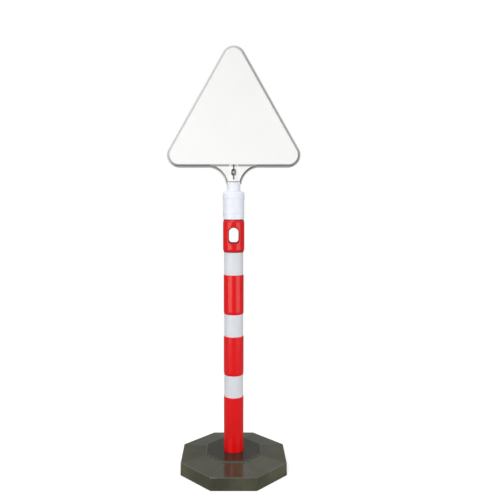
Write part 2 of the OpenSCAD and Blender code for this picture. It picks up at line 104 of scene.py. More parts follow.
# Hand slot
SLOT_WIDTH = 0.036
SLOT_HEIGHT = 0.058
SLOT_RISE = 0.035
SLOT_FOOT = GRIP_FOOT + SLOT_RISE
SLOT_CENTRE = SLOT_FOOT + SLOT_HEIGHT / 2
SLOT_FOOT_ROUND = 0.012
SLOT_CORNER_STEPS = 16
SLOT_LIP = 0.006
SLOT_LIP_STEPS = 6
RELIEF_DEPTH = 0.0012
RELIEF_REACH = 0.009

# Adaptor and friction ring
COLLAR_FOOT_RADIUS = 0.0393
COLLAR_TOP_RADIUS = 0.0403
COLLAR_SOFT = 0.0008
COLLAR_BORE_RADIUS = 0.0353
COLLAR_BORE_HEIGHT = 0.070
COLLAR_BORE_SOFT = 0.0006
SHOULDER_HEIGHT = 0.104
SHOULDER_ROUND = 0.010
NECK_RADIUS = 0.025
NECK_FILLET = 0.004
NECK_CORE_RADIUS = 0.019
NECK_WALL = 0.006
STUB_RADIUS = 0.0157
STUB_BORE_RADIUS = 0.008
FLANGE_RADIUS = 0.019
FLANGE_HEIGHT = 0.008
BEAD_HEIGHT = 0.011
BEAD_PROUD = 0.0009
BEAD_RISES = (0.026, 0.081)
BEAD_STEPS = 8
RING_SOFT = 0.0003
RING_CLEARANCE = 0.0001
FIT_GAP = 0.0003

# Sign head
CORNER_RADIUS = 0.045
CORNER_HEADINGS = (90, 210, 330)
CORNER_THIRD = math.cos(math.pi / 3)
RIM_WIDTH = 0.0105
RIM_LEDGE = 0.0005
RIM_EDGE = 0.0125
RIM_ROUND = 0.001
BRIM_WIDTH = 0.006
BRIM_LEAN = 0.0025
BRIM_ROUND = 0.0005
PARTING_ROUND = 0.0005
PARTING_LEAST_TURN = math.radians(60)
PANEL_BEVEL = 0.002
WEB_STEP = 0.001
WEB_LEDGE = 0.0002
NECK_RISE = 0.054
FLARE_DROP = 0.017
FLARE_FOOT = 0.0285
FLARE_BITE = 0.0008
COLUMN_BORE_RADIUS = 0.0193
COLUMN_SOFT = 0.0008
KEEPER_HEIGHT = 0.006
GROOVE_WIDTH = 0.005
GROOVE_DEPTH = 0.002
GROOVE_RISE = 0.008
GROOVE_END_ROUND = GROOVE_WIDTH * 0.45
RECESS_WIDTH = 0.0205
RECESS_HEIGHT = 0.0285
RECESS_DEPTH = 0.006
RECESS_TAPER = 0.22

# Sign head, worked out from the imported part
SIGN_FOOT = ring_high.z
SIGN_HALF_WIDTH = shell_high.x
LOWER_EDGE = SIGN_FOOT + NECK_RISE
CORNER_SPREAD = 2 * (SIGN_HALF_WIDTH - CORNER_RADIUS) / math.sqrt(3)
SIGN_CENTRE = LOWER_EDGE + CORNER_RADIUS + CORNER_SPREAD / 2
COLUMN_RADIUS = -shell_low.y
FACE_DEPTH = -panel_high.y
SLOPE_RUN = RIM_WIDTH - RIM_LEDGE
COLUMN_TOP = LOWER_EDGE + SLOPE_RUN + RIM_LEDGE / 2
FLARE_RADIUS = NECK_RISE + FLARE_BITE + FLARE_DROP
CLAMP_HEIGHT = (screw_low.z + screw_high.z) / 2

# Fasteners
SCREW_RADIUS = 0.003
SCREW_TIP_SOFT = 0.0005
SCREW_HEAD_RADIUS = 0.0055
SCREW_HEAD_HEIGHT = 0.0036
SCREW_HEAD_SOFT = 0.0008
SCREW_KEY_RADIUS = 0.0023
SCREW_KEY_SIDES = 6
WASHER_THICKNESS = 0.0014
WASHER_SOFT = 0.0004
NUT_SIDES = 6
NUT_CHAMFER_SHARE = 0.25
NUT_FACE_SHARE = 0.95

# Dirt on the base: how much of the wall's mud the facets and the platform hold, and where it thins out
FACET_DIRT = 0.36
PLATFORM_DIRT = 0.1
WALL_TOP_FADE = (WALL_HEIGHT - 0.002, WALL_HEIGHT + 0.001)
FACET_TOP_FADE = (FACET_TOP, FACET_TOP + 0.003)
# The drifts' turn leaves the front wall darker than its sides: a painted shade
DRIFT_AND_SHADE_TURN = math.radians(-45)

# Painted shade on the grip: how far a face of the slot's lip turns before the shade shows, and where it is
# full
LIP_SHADE_TURNS = (0.0, 0.03, 0.2)
LIP_SHADE = (0.0, 0.0, 1.0)

# Painted shade on the sign head: its level on the rim's slopes, its shares from the parting to the face,
# and its deeper levels in the groove and recess
RIM_SHADE = 0.66
DOWN_SHADE = 0.16
SIDE_SHADE = 0.15
NECK_SHADE = 0.26
SLOPE_LOOKS = (0.2, 0.98)
SLOPE_DEPTHS = (0.0, RIM_EDGE, RIM_EDGE + BRIM_LEAN, FACE_DEPTH)
RIM_SHARES = (0.3, 0.7, 1.0, 0.9)
NECK_SHARES = (0.3, 0.3, 1.0, 0.9)
# Painted shade in the groove and recess: how square a face looks to the front to count as the recess's
# floor, its levels there on the left and the right, and its deepest level on the walls
RECESS_FLOOR_LOOK = 0.8
FLOOR_SHADE_LEFT = 1.2
FLOOR_SHADE_RIGHT = 0.5
DEEP_SHADE = 2.0

# Painted shadow lines under the face panel and at the sign's foot, and painted shade round the clamp
# screw's head
LINE_SHARE = 0.9
LINE_DROP = 0.0008
LINE_HEIGHT = 0.0095
LINE_START = (LINE_HEIGHT * 0.1, LINE_HEIGHT * 0.35)
LINE_END = (LINE_HEIGHT * 0.5, LINE_HEIGHT * 0.85)
LINE_GAP_START = 0.0115
LINE_GAP_END = 0.0150
LINE_GAP_FADE = 0.001
FOOT_LINE_SHARE = 0.8
FOOT_LINE_START = (-0.0005, 0.0)
FOOT_LINE_END = (0.0012, 0.0030)
WASHER_SHADE_FADE = 0.0015
WASHER_SHADE_LEFT = 0.95
WASHER_SHADE_RIGHT = 0.45

# How fine the round shapes are
CORNER_STEPS = 96
FLARE_STEPS = 24
ROUND_STEPS = 4
SMALL_SIDES = 48
SMOOTH_ANGLE = math.radians(32)
STRIP_WIDTH = 0.004
STRIP_TURN = math.radians(9)
OVERRUN = 0.002
TOUCH = 0.00002
LAID_DOWN = math.pi / 2


# Working on a mesh by hand

def clear_selection():
    if bpy.context.mode != "OBJECT":
        bpy.ops.object.mode_set(mode="OBJECT")
    bpy.ops.object.select_all(action="DESELECT")


def choose(piece):
    clear_selection()
    piece.select_set(True)
    bpy.context.view_layer.objects.active = piece


def open_mesh(piece):
    choose(piece)
    bpy.ops.object.mode_set(mode="EDIT")
    bpy.ops.mesh.select_mode(type="VERT")
    bpy.ops.mesh.select_all(action="DESELECT")


def select_whole():
    bpy.ops.mesh.select_all(action="SELECT")


def apply_place():
    bpy.ops.object.transform_apply(location=True, rotation=True, scale=True)


def new_piece(name, stretch=(1, 1, 1)):
    """Name the primitive that was just added, and put its place and stretch into its mesh"""
    piece = bpy.context.object
    piece.name = name
    piece.data.name = name
    piece.scale = stretch
    apply_place()
    return piece


def make_block(name, centre, size):
    clear_selection()
    bpy.ops.mesh.primitive_cube_add(size=1, location=centre)
    return new_piece(name, size)


def make_rod(name, radius, length, centre, lean=0.0):
    """A plain round rod, upright or laid down"""
    clear_selection()
    bpy.ops.mesh.primitive_cylinder_add(
        vertices=SMALL_SIDES, radius=radius, depth=length, location=centre, rotation=(lean, 0, 0)
    )
    return new_piece(name)


def pick(kind, test):
    """Select the corners, edges or faces of the open mesh that pass a test"""
    bpy.ops.mesh.select_mode(type=kind)
    bpy.ops.mesh.select_all(action="DESELECT")
    mesh = bpy.context.edit_object.data
    edit = bmesh.from_edit_mesh(mesh)
    items = {"VERT": edit.verts, "EDGE": edit.edges, "FACE": edit.faces}[kind]
    for item in items:
        if test(item):
            item.select_set(True)
    edit.select_flush_mode()
    bmesh.update_edit_mesh(mesh)


def near(a, b):
    return abs(a - b) < TOUCH


def middle(edge):
    return (edge.verts[0].co + edge.verts[1].co) / 2


def is_level(edge, axis):
    """Whether both ends of an edge share their place on an axis"""
    return near(getattr(edge.verts[0].co, axis), getattr(edge.verts[1].co, axis))


def lies_at(axis, level):
    """Test for an edge that has both ends at one place on an axis"""
    return lambda edge: all(near(getattr(corner.co, axis), level) for corner in edge.verts)


def draw_on(move):
    bpy.ops.mesh.extrude_region_move(TRANSFORM_OT_translate={"value": move})


def round_selected(width, steps=ROUND_STEPS):
    bpy.ops.mesh.bevel(
        offset=width, offset_type="OFFSET", segments=steps, profile=0.5, affect="EDGES", clamp_overlap=True
    )


def tidy_faces():
    """Merge doubled corners and turn every face outwards"""
    select_whole()
    bpy.ops.mesh.remove_doubles(threshold=TOUCH / 4)
    bpy.ops.mesh.normals_make_consistent(inside=False)


def draw_rings(name, sides, outline, turn=0.0):
    """Start with a ring and draw it on along radii and heights, as on a lathe"""
    clear_selection()
    radius, height = outline[0]
    bpy.ops.mesh.primitive_circle_add(
        vertices=sides, radius=radius, location=(0, 0, height), rotation=(0, 0, turn)
    )
    piece = new_piece(name)
    open_mesh(piece)
    select_whole()
    for next_radius, next_height in outline[1:]:
        draw_on((0, 0, next_height - height))
        share = next_radius / radius
        bpy.ops.transform.resize(value=(share, share, 1), center_override=(0, 0, next_height))
        radius, height = next_radius, next_height
    return piece


def close_ends():
    select_whole()
    bpy.ops.mesh.fill_holes(sides=0)
    tidy_faces()


def join_ends():
    """Close a turned shape that has a bore: its last ring meets its first"""
    bpy.ops.mesh.select_mode(type="EDGE")
    bpy.ops.mesh.select_all(action="DESELECT")
    bpy.ops.mesh.select_non_manifold(extend=False)
    bpy.ops.mesh.bridge_edge_loops()
    tidy_faces()


def on_ring(corner, radius, height):
    return near(corner.co.xy.length, radius) and near(corner.co.z, height)


def soften_ring(radius, height, width, steps):
    pick("EDGE", lambda edge: all(on_ring(corner, radius, height) for corner in edge.verts))
    round_selected(width, steps)


def apply_modifier(piece, kind, **settings):
    choose(piece)
    step = piece.modifiers.new(kind.lower(), kind)
    for name, value in settings.items():
        setattr(step, name, value)
    bpy.ops.object.modifier_apply(modifier=step.name)


def combine(piece, tool, operation):
    """Cut a tool out of a piece, or weld it on, and put the tool away"""
    apply_modifier(piece, "BOOLEAN", operation=operation, solver="EXACT", object=tool)
    bpy.data.objects.remove(tool, do_unlink=True)


def cut(piece, tool):
    combine(piece, tool, "DIFFERENCE")


def turn_piece(piece, angle):
    """Turn a piece round the post's axis"""
    choose(piece)
    piece.rotation_euler = (0, 0, angle)
    apply_place()


# Marks on a mesh that the materials read

def write_marks(piece, name, domain, marks):
    attribute = piece.data.attributes.new(name, "FLOAT", domain)
    attribute.data.foreach_set("value", marks)


def is_edge_strip(face):
    """A narrow face that turns along its length, as on a rounded edge"""
    longest = max(edge.calc_length() for edge in face.edges)
    sides = [edge for edge in face.edges if edge.calc_length() > longest / 2]
    narrow = face.calc_area() / longest < STRIP_WIDTH
    return narrow and any(edge.calc_face_angle(0.0) > STRIP_TURN for edge in sides)


def mark_edges(piece):
    """Note on each corner of the mesh whether it lies on a rounded edge"""
    shape = bmesh.new()
    shape.from_mesh(piece.data)
    strips = {face.index for face in shape.faces if is_edge_strip(face)}
    marks = [float(all(face.index in strips for face in corner.link_faces)) for corner in shape.verts]
    shape.free()
    write_marks(piece, "edge", "POINT", marks)


def mark_painted_shade(piece, shade_rule):
    """Note how much painted shade each face takes at each of its corners"""
    choose(piece)
    corners = piece.data.vertices
    marks = [shade_rule(face, corners[index].co) for face in piece.data.polygons for index in face.vertices]
    write_marks(piece, "painted_shade", "CORNER", marks)


def level_between(value, places, levels):
    """Level at a value between given places, on straight lines from one to the next"""
    for step in range(len(places) - 1):
        if value <= places[step + 1]:
            share = (value - places[step]) / (places[step + 1] - places[step])
            return levels[step] + (levels[step + 1] - levels[step]) * max(share, 0.0)
    return levels[-1]


def finish_piece(piece, material, body, slot, *nodes):
    choose(piece)
    bpy.ops.object.shade_smooth_by_angle(angle=SMOOTH_ANGLE)
    apply_modifier(piece, "WEIGHTED_NORMAL", keep_sharp=True)
    mark_edges(piece)
    piece.data.materials.clear()
    piece.data.materials.append(material)
    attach(piece, body)
    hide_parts(*nodes)


# Node helpers for the materials

VALUE = "NodeSocketFloat"
VECTOR = "NodeSocketVector"
WHITE = (1, 1, 1, 1)


def srgb(red, green, blue):
    """A colour given as on a screen, from 0 to 255, as the linear colour that a shader takes"""
    def linear(value):
        share = value / 255
        return share / 12.92 if share <= 0.04045 else ((share + 0.055) / 1.055) ** 2.4
    return (linear(red), linear(green), linear(blue), 1.0)


def feed(tree, socket, value):
    """Link a socket to another node's result, or give it a plain value"""
    if isinstance(value, bpy.types.NodeSocket):
        tree.links.new(value, socket)
    else:
        socket.default_value = value


def add_node(tree, kind, fields=None, **sockets):
    """Add a node, set its own fields, and set or link its sockets by name"""
    made = tree.nodes.new(kind)
    for field, value in (fields or {}).items():
        setattr(made, field, value)
    for name, value in sockets.items():
        feed(tree, made.inputs[name.replace("_", " ")], value)
    return made


def add_math(tree, operation, first, second=0.0):
    made = add_node(tree, "ShaderNodeMath", {"operation": operation})
    feed(tree, made.inputs[0], first)
    feed(tree, made.inputs[1], second)
    return made.outputs[0]


def multiply(tree, first, *others):
    for other in others:
        first = add_math(tree, "MULTIPLY", first, other)
    return first


def strongest(tree, first, *others):
    for other in others:
        first = add_math(tree, "MAXIMUM", first, other)
    return first


def add_range(tree, value, from_low, from_high, to_low=0.0, to_high=1.0):
    made = add_node(
        tree, "ShaderNodeMapRange", {"clamp": True},
        Value=value, From_Min=from_low, From_Max=from_high, To_Min=to_low, To_Max=to_high,
    )
    return made.outputs["Result"]


def add_mix(tree, factor, first, second):
    made = add_node(tree, "ShaderNodeMix", {"data_type": "RGBA"})
    sockets = [socket for socket in made.inputs if socket.enabled]
    for socket, value in zip(sockets, (factor, first, second)):
        feed(tree, socket, value)
    return next(socket for socket in made.outputs if socket.enabled)


def add_noise(tree, place, scale, detail, roughness=0.5):
    made = add_node(
        tree, "ShaderNodeTexNoise", Vector=place, Scale=scale, Detail=detail, Roughness=roughness
    )
    return made.outputs["Fac"]


def add_length(tree, vector):
    return add_node(tree, "ShaderNodeVectorMath", {"operation": "LENGTH"}, Vector=vector).outputs["Value"]


def split(tree, vector):
    return add_node(tree, "ShaderNodeSeparateXYZ", Vector=vector).outputs


def read_marks(tree, name):
    return add_node(tree, "ShaderNodeAttribute", {"attribute_name": name}).outputs["Fac"]


def new_group(name, output, kind, **inputs):
    """An empty shader group that takes a place and named values, and puts out one result"""
    tree = bpy.data.node_groups.new(name, "ShaderNodeTree")
    tree.interface.new_socket("Place", in_out="INPUT", socket_type=VECTOR)
    for label, value in inputs.items():
        socket = tree.interface.new_socket(label.replace("_", " "), in_out="INPUT", socket_type=VALUE)
        socket.default_value = value
    tree.interface.new_socket(output, in_out="OUTPUT", socket_type=kind)
    given = tree.nodes.new("NodeGroupInput").outputs
    made = tree.nodes.new("NodeGroupOutput").inputs[output]
    return tree, given, made


def use_group(tree, group, place, **sockets):
    return add_node(tree, "ShaderNodeGroup", {"node_tree": group}, Place=place, **sockets).outputs[0]


def new_material(name):
    material = bpy.data.materials.new(name)
    material.use_nodes = True
    tree = material.node_tree
    shader = tree.nodes["Principled BSDF"]
    place = add_node(tree, "ShaderNodeTexCoord").outputs["Object"]
    return material, tree, shader, place


def dress_shader(tree, shader, colour, rough, height, depth):
    """Give a shader its colour, its roughness and a relief of a given depth"""
    bump = add_node(tree, "ShaderNodeBump", Height=height, Distance=depth)
    tree.links.new(colour, shader.inputs["Base Color"])
    tree.links.new(rough, shader.inputs["Roughness"])
    tree.links.new(bump.outputs["Normal"], shader.inputs["Normal"])


# Effects that several materials share

def make_mottle_group():
    """Soft uneven patches: a mask from 0 to 1 with patches of a given size"""
    tree, given, made = new_group("soft mottle", "Mask", VALUE, Size=0.05, Sharpness=0.3)
    scale = add_math(tree, "DIVIDE", 1.0, given["Size"])
    noise = add_noise(tree, given["Place"], scale=scale, detail=4.0, roughness=0.55)
    low = multiply(tree, given["Sharpness"], 0.5)
    high = add_math(tree, "SUBTRACT", 1.0, low)
    tree.links.new(add_range(tree, noise, low, high), made)
    return tree


def make_grain_group():
    """Fine moulded grain with a coarser swell under it, as a height"""
    tree, given, made = new_group("moulded grain", "Height", VALUE, Size=0.001, Orange_Peel=0.5)
    scale = add_math(tree, "DIVIDE", 1.0, given["Size"])
    coarse_scale = add_math(tree, "DIVIDE", scale, 6.0)
    fine = add_noise(tree, given["Place"], scale=scale, detail=3.0, roughness=0.6)
    coarse = add_noise(tree, given["Place"], scale=coarse_scale, detail=1.0)
    swell = multiply(tree, coarse, given["Orange Peel"])
    tree.links.new(add_math(tree, "ADD", fine, swell), made)
    return tree


SCUFF_STROKES = (((900, 900, 40), 0.25), ((60, 900, 900), -0.35), ((900, 900, 25), -0.6))


def make_scuff_group():
    """Short fine scratches, along and across, as a mask, from noise that is stretched and turned"""
    tree, given, made = new_group("handling scuffs", "Mask", VALUE, Amount=0.5)
    strokes = []
    for stretch, turn in SCUFF_STROKES:
        turned = add_node(
            tree, "ShaderNodeMapping", Vector=given["Place"], Rotation=(turn, turn / 2, turn), Scale=stretch
        )
        lines = add_noise(tree, turned.outputs["Vector"], scale=1.0, detail=2.0)
        strokes.append(add_range(tree, lines, 0.66, 0.74))
    patches = add_noise(tree, given["Place"], scale=14.0, detail=2.0)
    where = add_range(tree, patches, 0.45, 0.65)
    tree.links.new(multiply(tree, strongest(tree, *strokes), where, given["Amount"]), made)
    return tree


def make_dust_group():
    """Dust that settles on faces that look up, and thins out in patches"""
    tree, given, made = new_group("settled dust", "Mask", VALUE, Amount=0.3)
    normal = add_node(tree, "ShaderNodeNewGeometry").outputs["Normal"]
    facing = add_range(tree, split(tree, normal)["Z"], 0.35, 0.95)
    patches = add_noise(tree, given["Place"], scale=22.0, detail=6.0, roughness=0.7)
    thin = add_range(tree, patches, 0.38, 0.68)
    tree.links.new(multiply(tree, facing, thin, given["Amount"]), made)
    return tree


def make_edge_group():
    """Wear along rounded edges, broken up by noise"""
    tree, given, made = new_group("edge wear", "Mask", VALUE, Amount=0.5)
    rough = add_noise(tree, given["Place"], scale=160.0, detail=4.0)
    broken = add_range(tree, rough, 0.35, 0.65, 0.35, 1.0)
    tree.links.new(multiply(tree, read_marks(tree, "edge"), broken, given["Amount"]), made)
    return tree


def make_wrap_group():
    """Place on a sheet that is wrapped round the post: along its turn, and up"""
    tree, given, made = new_group("wrapped sheet", "Sheet", VECTOR, Radius=WRAP_RADIUS)
    axes = split(tree, given["Place"])
    angle = add_math(tree, "ARCTAN2", axes["X"], axes["Y"])
    along = multiply(tree, angle, given["Radius"])
    sheet = add_node(tree, "ShaderNodeCombineXYZ", X=along, Y=axes["Z"])
    tree.links.new(sheet.outputs["Vector"], made)
    return tree


MOTTLE = make_mottle_group()
GRAIN = make_grain_group()
SCUFFS = make_scuff_group()
DUST = make_dust_group()
EDGE_WEAR = make_edge_group()
WRAP = make_wrap_group()


# Materials

def add_splash_and_front_shade(tree, place, clouds):
    """Dried mud: most on the base's wall, less on the facets, little on the platform, in broad drifts that
    leave the front wall darker than its sides as a painted shade
    """
    height = split(tree, place)["Z"]
    turned = add_node(tree, "ShaderNodeMapping", Vector=place, Rotation=(0, 0, DRIFT_AND_SHADE_TURN))
    drift_and_front_shade = use_group(tree, MOTTLE, turned.outputs["Vector"], Size=0.24, Sharpness=0.75)
    return multiply(
        tree,
        add_range(tree, height, *WALL_TOP_FADE, 1.0, FACET_DIRT),
        add_range(tree, height, *FACET_TOP_FADE, 1.0, PLATFORM_DIRT),
        add_range(tree, clouds, 0.0, 1.0, 0.75, 1.0),
        add_range(tree, drift_and_front_shade, 0.1, 0.7, 0.6, 1.05),
    )


def make_base_rubber():
    """Moulded black rubber gone olive grey, with crumb, dried mud, a little dust, and lighter edges that
    are partly wear and partly a painted highlight
    """
    material, tree, shader, place = new_material("moulded base rubber")
    clouds = use_group(tree, MOTTLE, place, Size=0.085, Sharpness=0.62)
    crumb = use_group(tree, MOTTLE, place, Size=0.0065, Sharpness=0.7)
    specks = add_node(tree, "ShaderNodeTexVoronoi", Vector=place, Scale=190.0).outputs["Distance"]
    speck_mask = add_range(tree, specks, 0.0, 0.16, 1.0, 0.0)
    dust = use_group(tree, DUST, place, Amount=0.03)
    wear = use_group(tree, EDGE_WEAR, place, Amount=0.26)
    scuffs = use_group(tree, SCUFFS, place, Amount=0.15)
    colour = add_mix(tree, clouds, srgb(24, 24, 20), srgb(32, 32, 26))
    # Mud on the wall; its drifts leave the front wall darker, a painted shade
    colour = add_mix(tree, add_splash_and_front_shade(tree, place, clouds), colour, srgb(86, 86, 70))
    colour = add_mix(tree, multiply(tree, crumb, 0.12), colour, srgb(58, 55, 44))
    colour = add_mix(tree, multiply(tree, speck_mask, 0.10), colour, srgb(98, 92, 78))
    colour = add_mix(tree, dust, colour, srgb(120, 116, 98))
    # Lighter edges and scuffs: wear, and on the rounded edges also a painted highlight line
    colour = add_mix(tree, strongest(tree, wear, scuffs), colour, srgb(126, 123, 110))
    rough = add_range(tree, strongest(tree, dust, scuffs), 0.0, 0.5, 0.12, 0.42)
    height = use_group(tree, GRAIN, place, Size=0.0016, Orange_Peel=0.9)
    shader.inputs["Specular IOR Level"].default_value = 0.5
    shader.inputs["Specular Tint"].default_value = (1.0, 0.98, 0.84, 1.0)
    dress_shader(tree, shader, colour, rough, height, depth=0.000012)
    return material


def make_red_plastic():
    """Blow-moulded red plastic: even colour, a light orange peel, a few scuffs, and painted shade round the
    slot's lip and at the grip's ends
    """
    material, tree, shader, place = new_material("blow-moulded red plastic")
    shade = use_group(tree, MOTTLE, place, Size=0.12, Sharpness=0.5)
    blotch = use_group(tree, MOTTLE, place, Size=0.02, Sharpness=0.4)
    scuffs = use_group(tree, SCUFFS, place, Amount=0.22)
    wear = use_group(tree, EDGE_WEAR, place, Amount=0.12)
    dust = use_group(tree, DUST, place, Amount=0.05)
    shade_level = read_marks(tree, "painted_shade")
    colour = add_mix(tree, shade, srgb(217, 2, 6), srgb(223, 5, 9))
    colour = add_mix(tree, multiply(tree, strongest(tree, scuffs, wear), 0.6), colour, srgb(238, 92, 90))
    colour = add_mix(tree, dust, colour, srgb(200, 150, 140))
    # Dark red painted shade round the slot's lip and at the grip's ends
    colour = add_mix(tree, multiply(tree, shade_level, 0.85), colour, srgb(138, 4, 8))
    rough = add_range(tree, blotch, 0.0, 1.0, 0.22, 0.27)
    rough = add_math(tree, "ADD", rough, multiply(tree, scuffs, 0.3))
    rough = add_math(tree, "ADD", rough, multiply(tree, shade_level, 0.5))
    height = use_group(tree, GRAIN, place, Size=0.0009, Orange_Peel=1.6)
    shader.inputs["Specular IOR Level"].default_value = 0.5
    dress_shader(tree, shader, colour, rough, height, depth=0.00003)
    return material


def make_reflective_sheet():
    """Pale reflective sheet: a fine cell pattern under a clear film, with lighter bead dots as a painted
    glint
    """
    material, tree, shader, place = new_material("reflective band sheet")
    sheet = use_group(tree, WRAP, place, Radius=WRAP_RADIUS)
    cells = add_node(
        tree, "ShaderNodeTexVoronoi", {"feature": "DISTANCE_TO_EDGE", "voronoi_dimensions": "2D"},
        Vector=sheet, Scale=260.0, Randomness=0.12,
    ).outputs["Distance"]
    seams = add_range(tree, cells, 0.02, 0.09, 1.0, 0.0)
    beads_and_glints = use_group(tree, MOTTLE, sheet, Size=0.0007, Sharpness=0.6)
    patches = use_group(tree, MOTTLE, place, Size=0.05, Sharpness=0.5)
    scuffs = use_group(tree, SCUFFS, place, Amount=0.35)
    colour = add_mix(tree, patches, srgb(207, 211, 217), srgb(215, 218, 222))
    colour = add_mix(tree, multiply(tree, seams, 0.30), colour, srgb(190, 196, 204))
    # Lighter bead dots: a painted glint of the glass beads
    colour = add_mix(tree, multiply(tree, beads_and_glints, 0.25), colour, srgb(232, 235, 238))
    colour = add_mix(tree, scuffs, colour, srgb(176, 178, 178))
    rough = add_range(tree, beads_and_glints, 0.0, 1.0, 0.32, 0.46)
    shader.inputs["Specular IOR Level"].default_value = 0.35
    dress_shader(tree, shader, colour, rough, seams, depth=0.00002)
    return material


def add_web_shadow_line(tree, axes):
    """Painted shadow in the crease under the face panel, with a gap on each side of the column"""
    below = add_math(tree, "SUBTRACT", panel_low.z - LINE_DROP, axes["Z"])
    aside = add_math(tree, "ABSOLUTE", axes["X"])
    on_column = add_range(tree, aside, LINE_GAP_START - LINE_GAP_FADE, LINE_GAP_START, 1.0, 0.0)
    on_web = add_range(tree, aside, LINE_GAP_END, LINE_GAP_END + LINE_GAP_FADE)
    return multiply(
        tree,
        add_range(tree, below, *LINE_END, LINE_SHARE, 0.0),
        add_range(tree, below, *LINE_START),
        strongest(tree, on_column, on_web),
    )


def add_foot_shadow_line(tree, axes):
    """Painted shadow along the foot of the sign, where it meets the friction ring"""
    above = add_math(tree, "SUBTRACT", axes["Z"], SIGN_FOOT)
    start = add_range(tree, above, *FOOT_LINE_START)
    return multiply(tree, start, add_range(tree, above, *FOOT_LINE_END, FOOT_LINE_SHARE, 0.0))


def make_white_plastic(name, clean, shaded, worn, dusty):
    """Moulded white plastic with a light grain, worn edges, painted shade on its slopes, in its creases and
    recesses, and dust on top
    """
    material, tree, shader, place = new_material(name)
    patches = use_group(tree, MOTTLE, place, Size=0.06, Sharpness=0.5)
    dust = use_group(tree, DUST, place, Amount=dusty)
    wear = use_group(tree, EDGE_WEAR, place, Amount=0.30)
    scuffs = use_group(tree, SCUFFS, place, Amount=0.16)
    shade_level = read_marks(tree, "painted_shade")
    axes = split(tree, place)
    # Painted shade: the marks on the slopes, groove and recess, and painted shadow lines under the face
    # panel and at the foot
    shade_cover = strongest(
        tree, add_range(tree, shade_level, 0.0, 1.0), add_web_shadow_line(tree, axes), add_foot_shadow_line(tree, axes)
    )
    painted_shade = multiply(tree, shade_cover, add_range(tree, patches, 0.0, 1.0, 0.9, 1.0))
    deep_shade = add_range(tree, shade_level, 1.0, DEEP_SHADE)
    colour = add_mix(tree, patches, clean, shaded)
    colour = add_mix(tree, wear, colour, worn)
    # Grey painted shade, then a deeper painted shade in the groove and recess
    colour = add_mix(tree, painted_shade, colour, srgb(88, 88, 86))
    colour = add_mix(tree, multiply(tree, deep_shade, 0.9), colour, srgb(84, 84, 82))
    colour = add_mix(tree, strongest(tree, dust, scuffs), colour, srgb(186, 184, 176))
    rough = add_range(tree, patches, 0.0, 1.0, 0.24, 0.32)
    height = use_group(tree, GRAIN, place, Size=0.0008, Orange_Peel=1.2)
    shader.inputs["Specular IOR Level"].default_value = 0.45
    dress_shader(tree, shader, colour, rough, height, depth=0.00003)
    return material


def make_panel_sheet():
    """Blank white face, smooth, with a few hairline scuffs and worn edges"""
    material, tree, shader, place = new_material("blank face panel")
    patches = use_group(tree, MOTTLE, place, Size=0.11, Sharpness=0.45)
    scuffs = use_group(tree, SCUFFS, place, Amount=0.10)
    wear = use_group(tree, EDGE_WEAR, place, Amount=0.25)
    colour = add_mix(tree, patches, srgb(239, 239, 238), srgb(242, 242, 240))
    colour = add_mix(tree, strongest(tree, scuffs, wear), colour, srgb(212, 212, 210))
    rough = add_range(tree, patches, 0.0, 1.0, 0.42, 0.52)
    height = use_group(tree, GRAIN, place, Size=0.0006, Orange_Peel=0.8)
    shader.inputs["Specular IOR Level"].default_value = 0.25
    dress_shader(tree, shader, colour, rough, height, depth=0.00003)
    return material


def make_ring_rubber():
    """Dark friction ring, matt, with a fine grain"""
    material, tree, shader, place = new_material("friction ring rubber")
    patches = use_group(tree, MOTTLE, place, Size=0.008, Sharpness=0.6)
    colour = add_mix(tree, patches, srgb(40, 41, 42), srgb(54, 55, 56))
    rough = add_range(tree, patches, 0.0, 1.0, 0.62, 0.78)
    height = use_group(tree, GRAIN, place, Size=0.0005, Orange_Peel=0.2)
    dress_shader(tree, shader, colour, rough, height, depth=0.00005)
    return material


def add_washer_shade(tree, place):
    """Painted shade round the clamp screw's head, more to the left of it"""
    axes = split(tree, place)
    rise = add_math(tree, "SUBTRACT", axes["Z"], CLAMP_HEIGHT)
    from_screw = add_node(tree, "ShaderNodeCombineXYZ", X=axes["X"], Y=rise).outputs["Vector"]
    head = SCREW_HEAD_RADIUS
    return multiply(
        tree,
        add_range(tree, add_length(tree, from_screw), head - WASHER_SHADE_FADE, head),
        add_range(tree, axes["X"], -head, head, WASHER_SHADE_LEFT, WASHER_SHADE_RIGHT),
    )


def make_zinc_steel():
    """Zinc plated steel: pale spangle with a fine grain, darker in patches, and with painted shade round
    the clamp screw's head
    """
    material, tree, shader, place = new_material("zinc plated steel")
    spangle = add_node(tree, "ShaderNodeTexVoronoi", Vector=place, Scale=900.0).outputs["Color"]
    tone = add_node(tree, "ShaderNodeSeparateColor", Color=spangle).outputs["Red"]
    patches = use_group(tree, MOTTLE, place, Size=0.004, Sharpness=0.6)
    colour = add_mix(tree, tone, srgb(196, 199, 203), srgb(212, 214, 217))
    colour = add_mix(tree, multiply(tree, patches, 0.4), colour, srgb(150, 150, 148))
    # Painted shade round the screw's head, more on its left
    colour = add_mix(tree, add_washer_shade(tree, place), colour, srgb(64, 64, 62))
    rough = add_range(tree, patches, 0.0, 1.0, 0.28, 0.46)
    height = use_group(tree, GRAIN, place, Size=0.0003, Orange_Peel=0.3)
    shader.inputs["Metallic"].default_value = 0.6
    dress_shader(tree, shader, colour, rough, height, depth=0.00001)
    return material


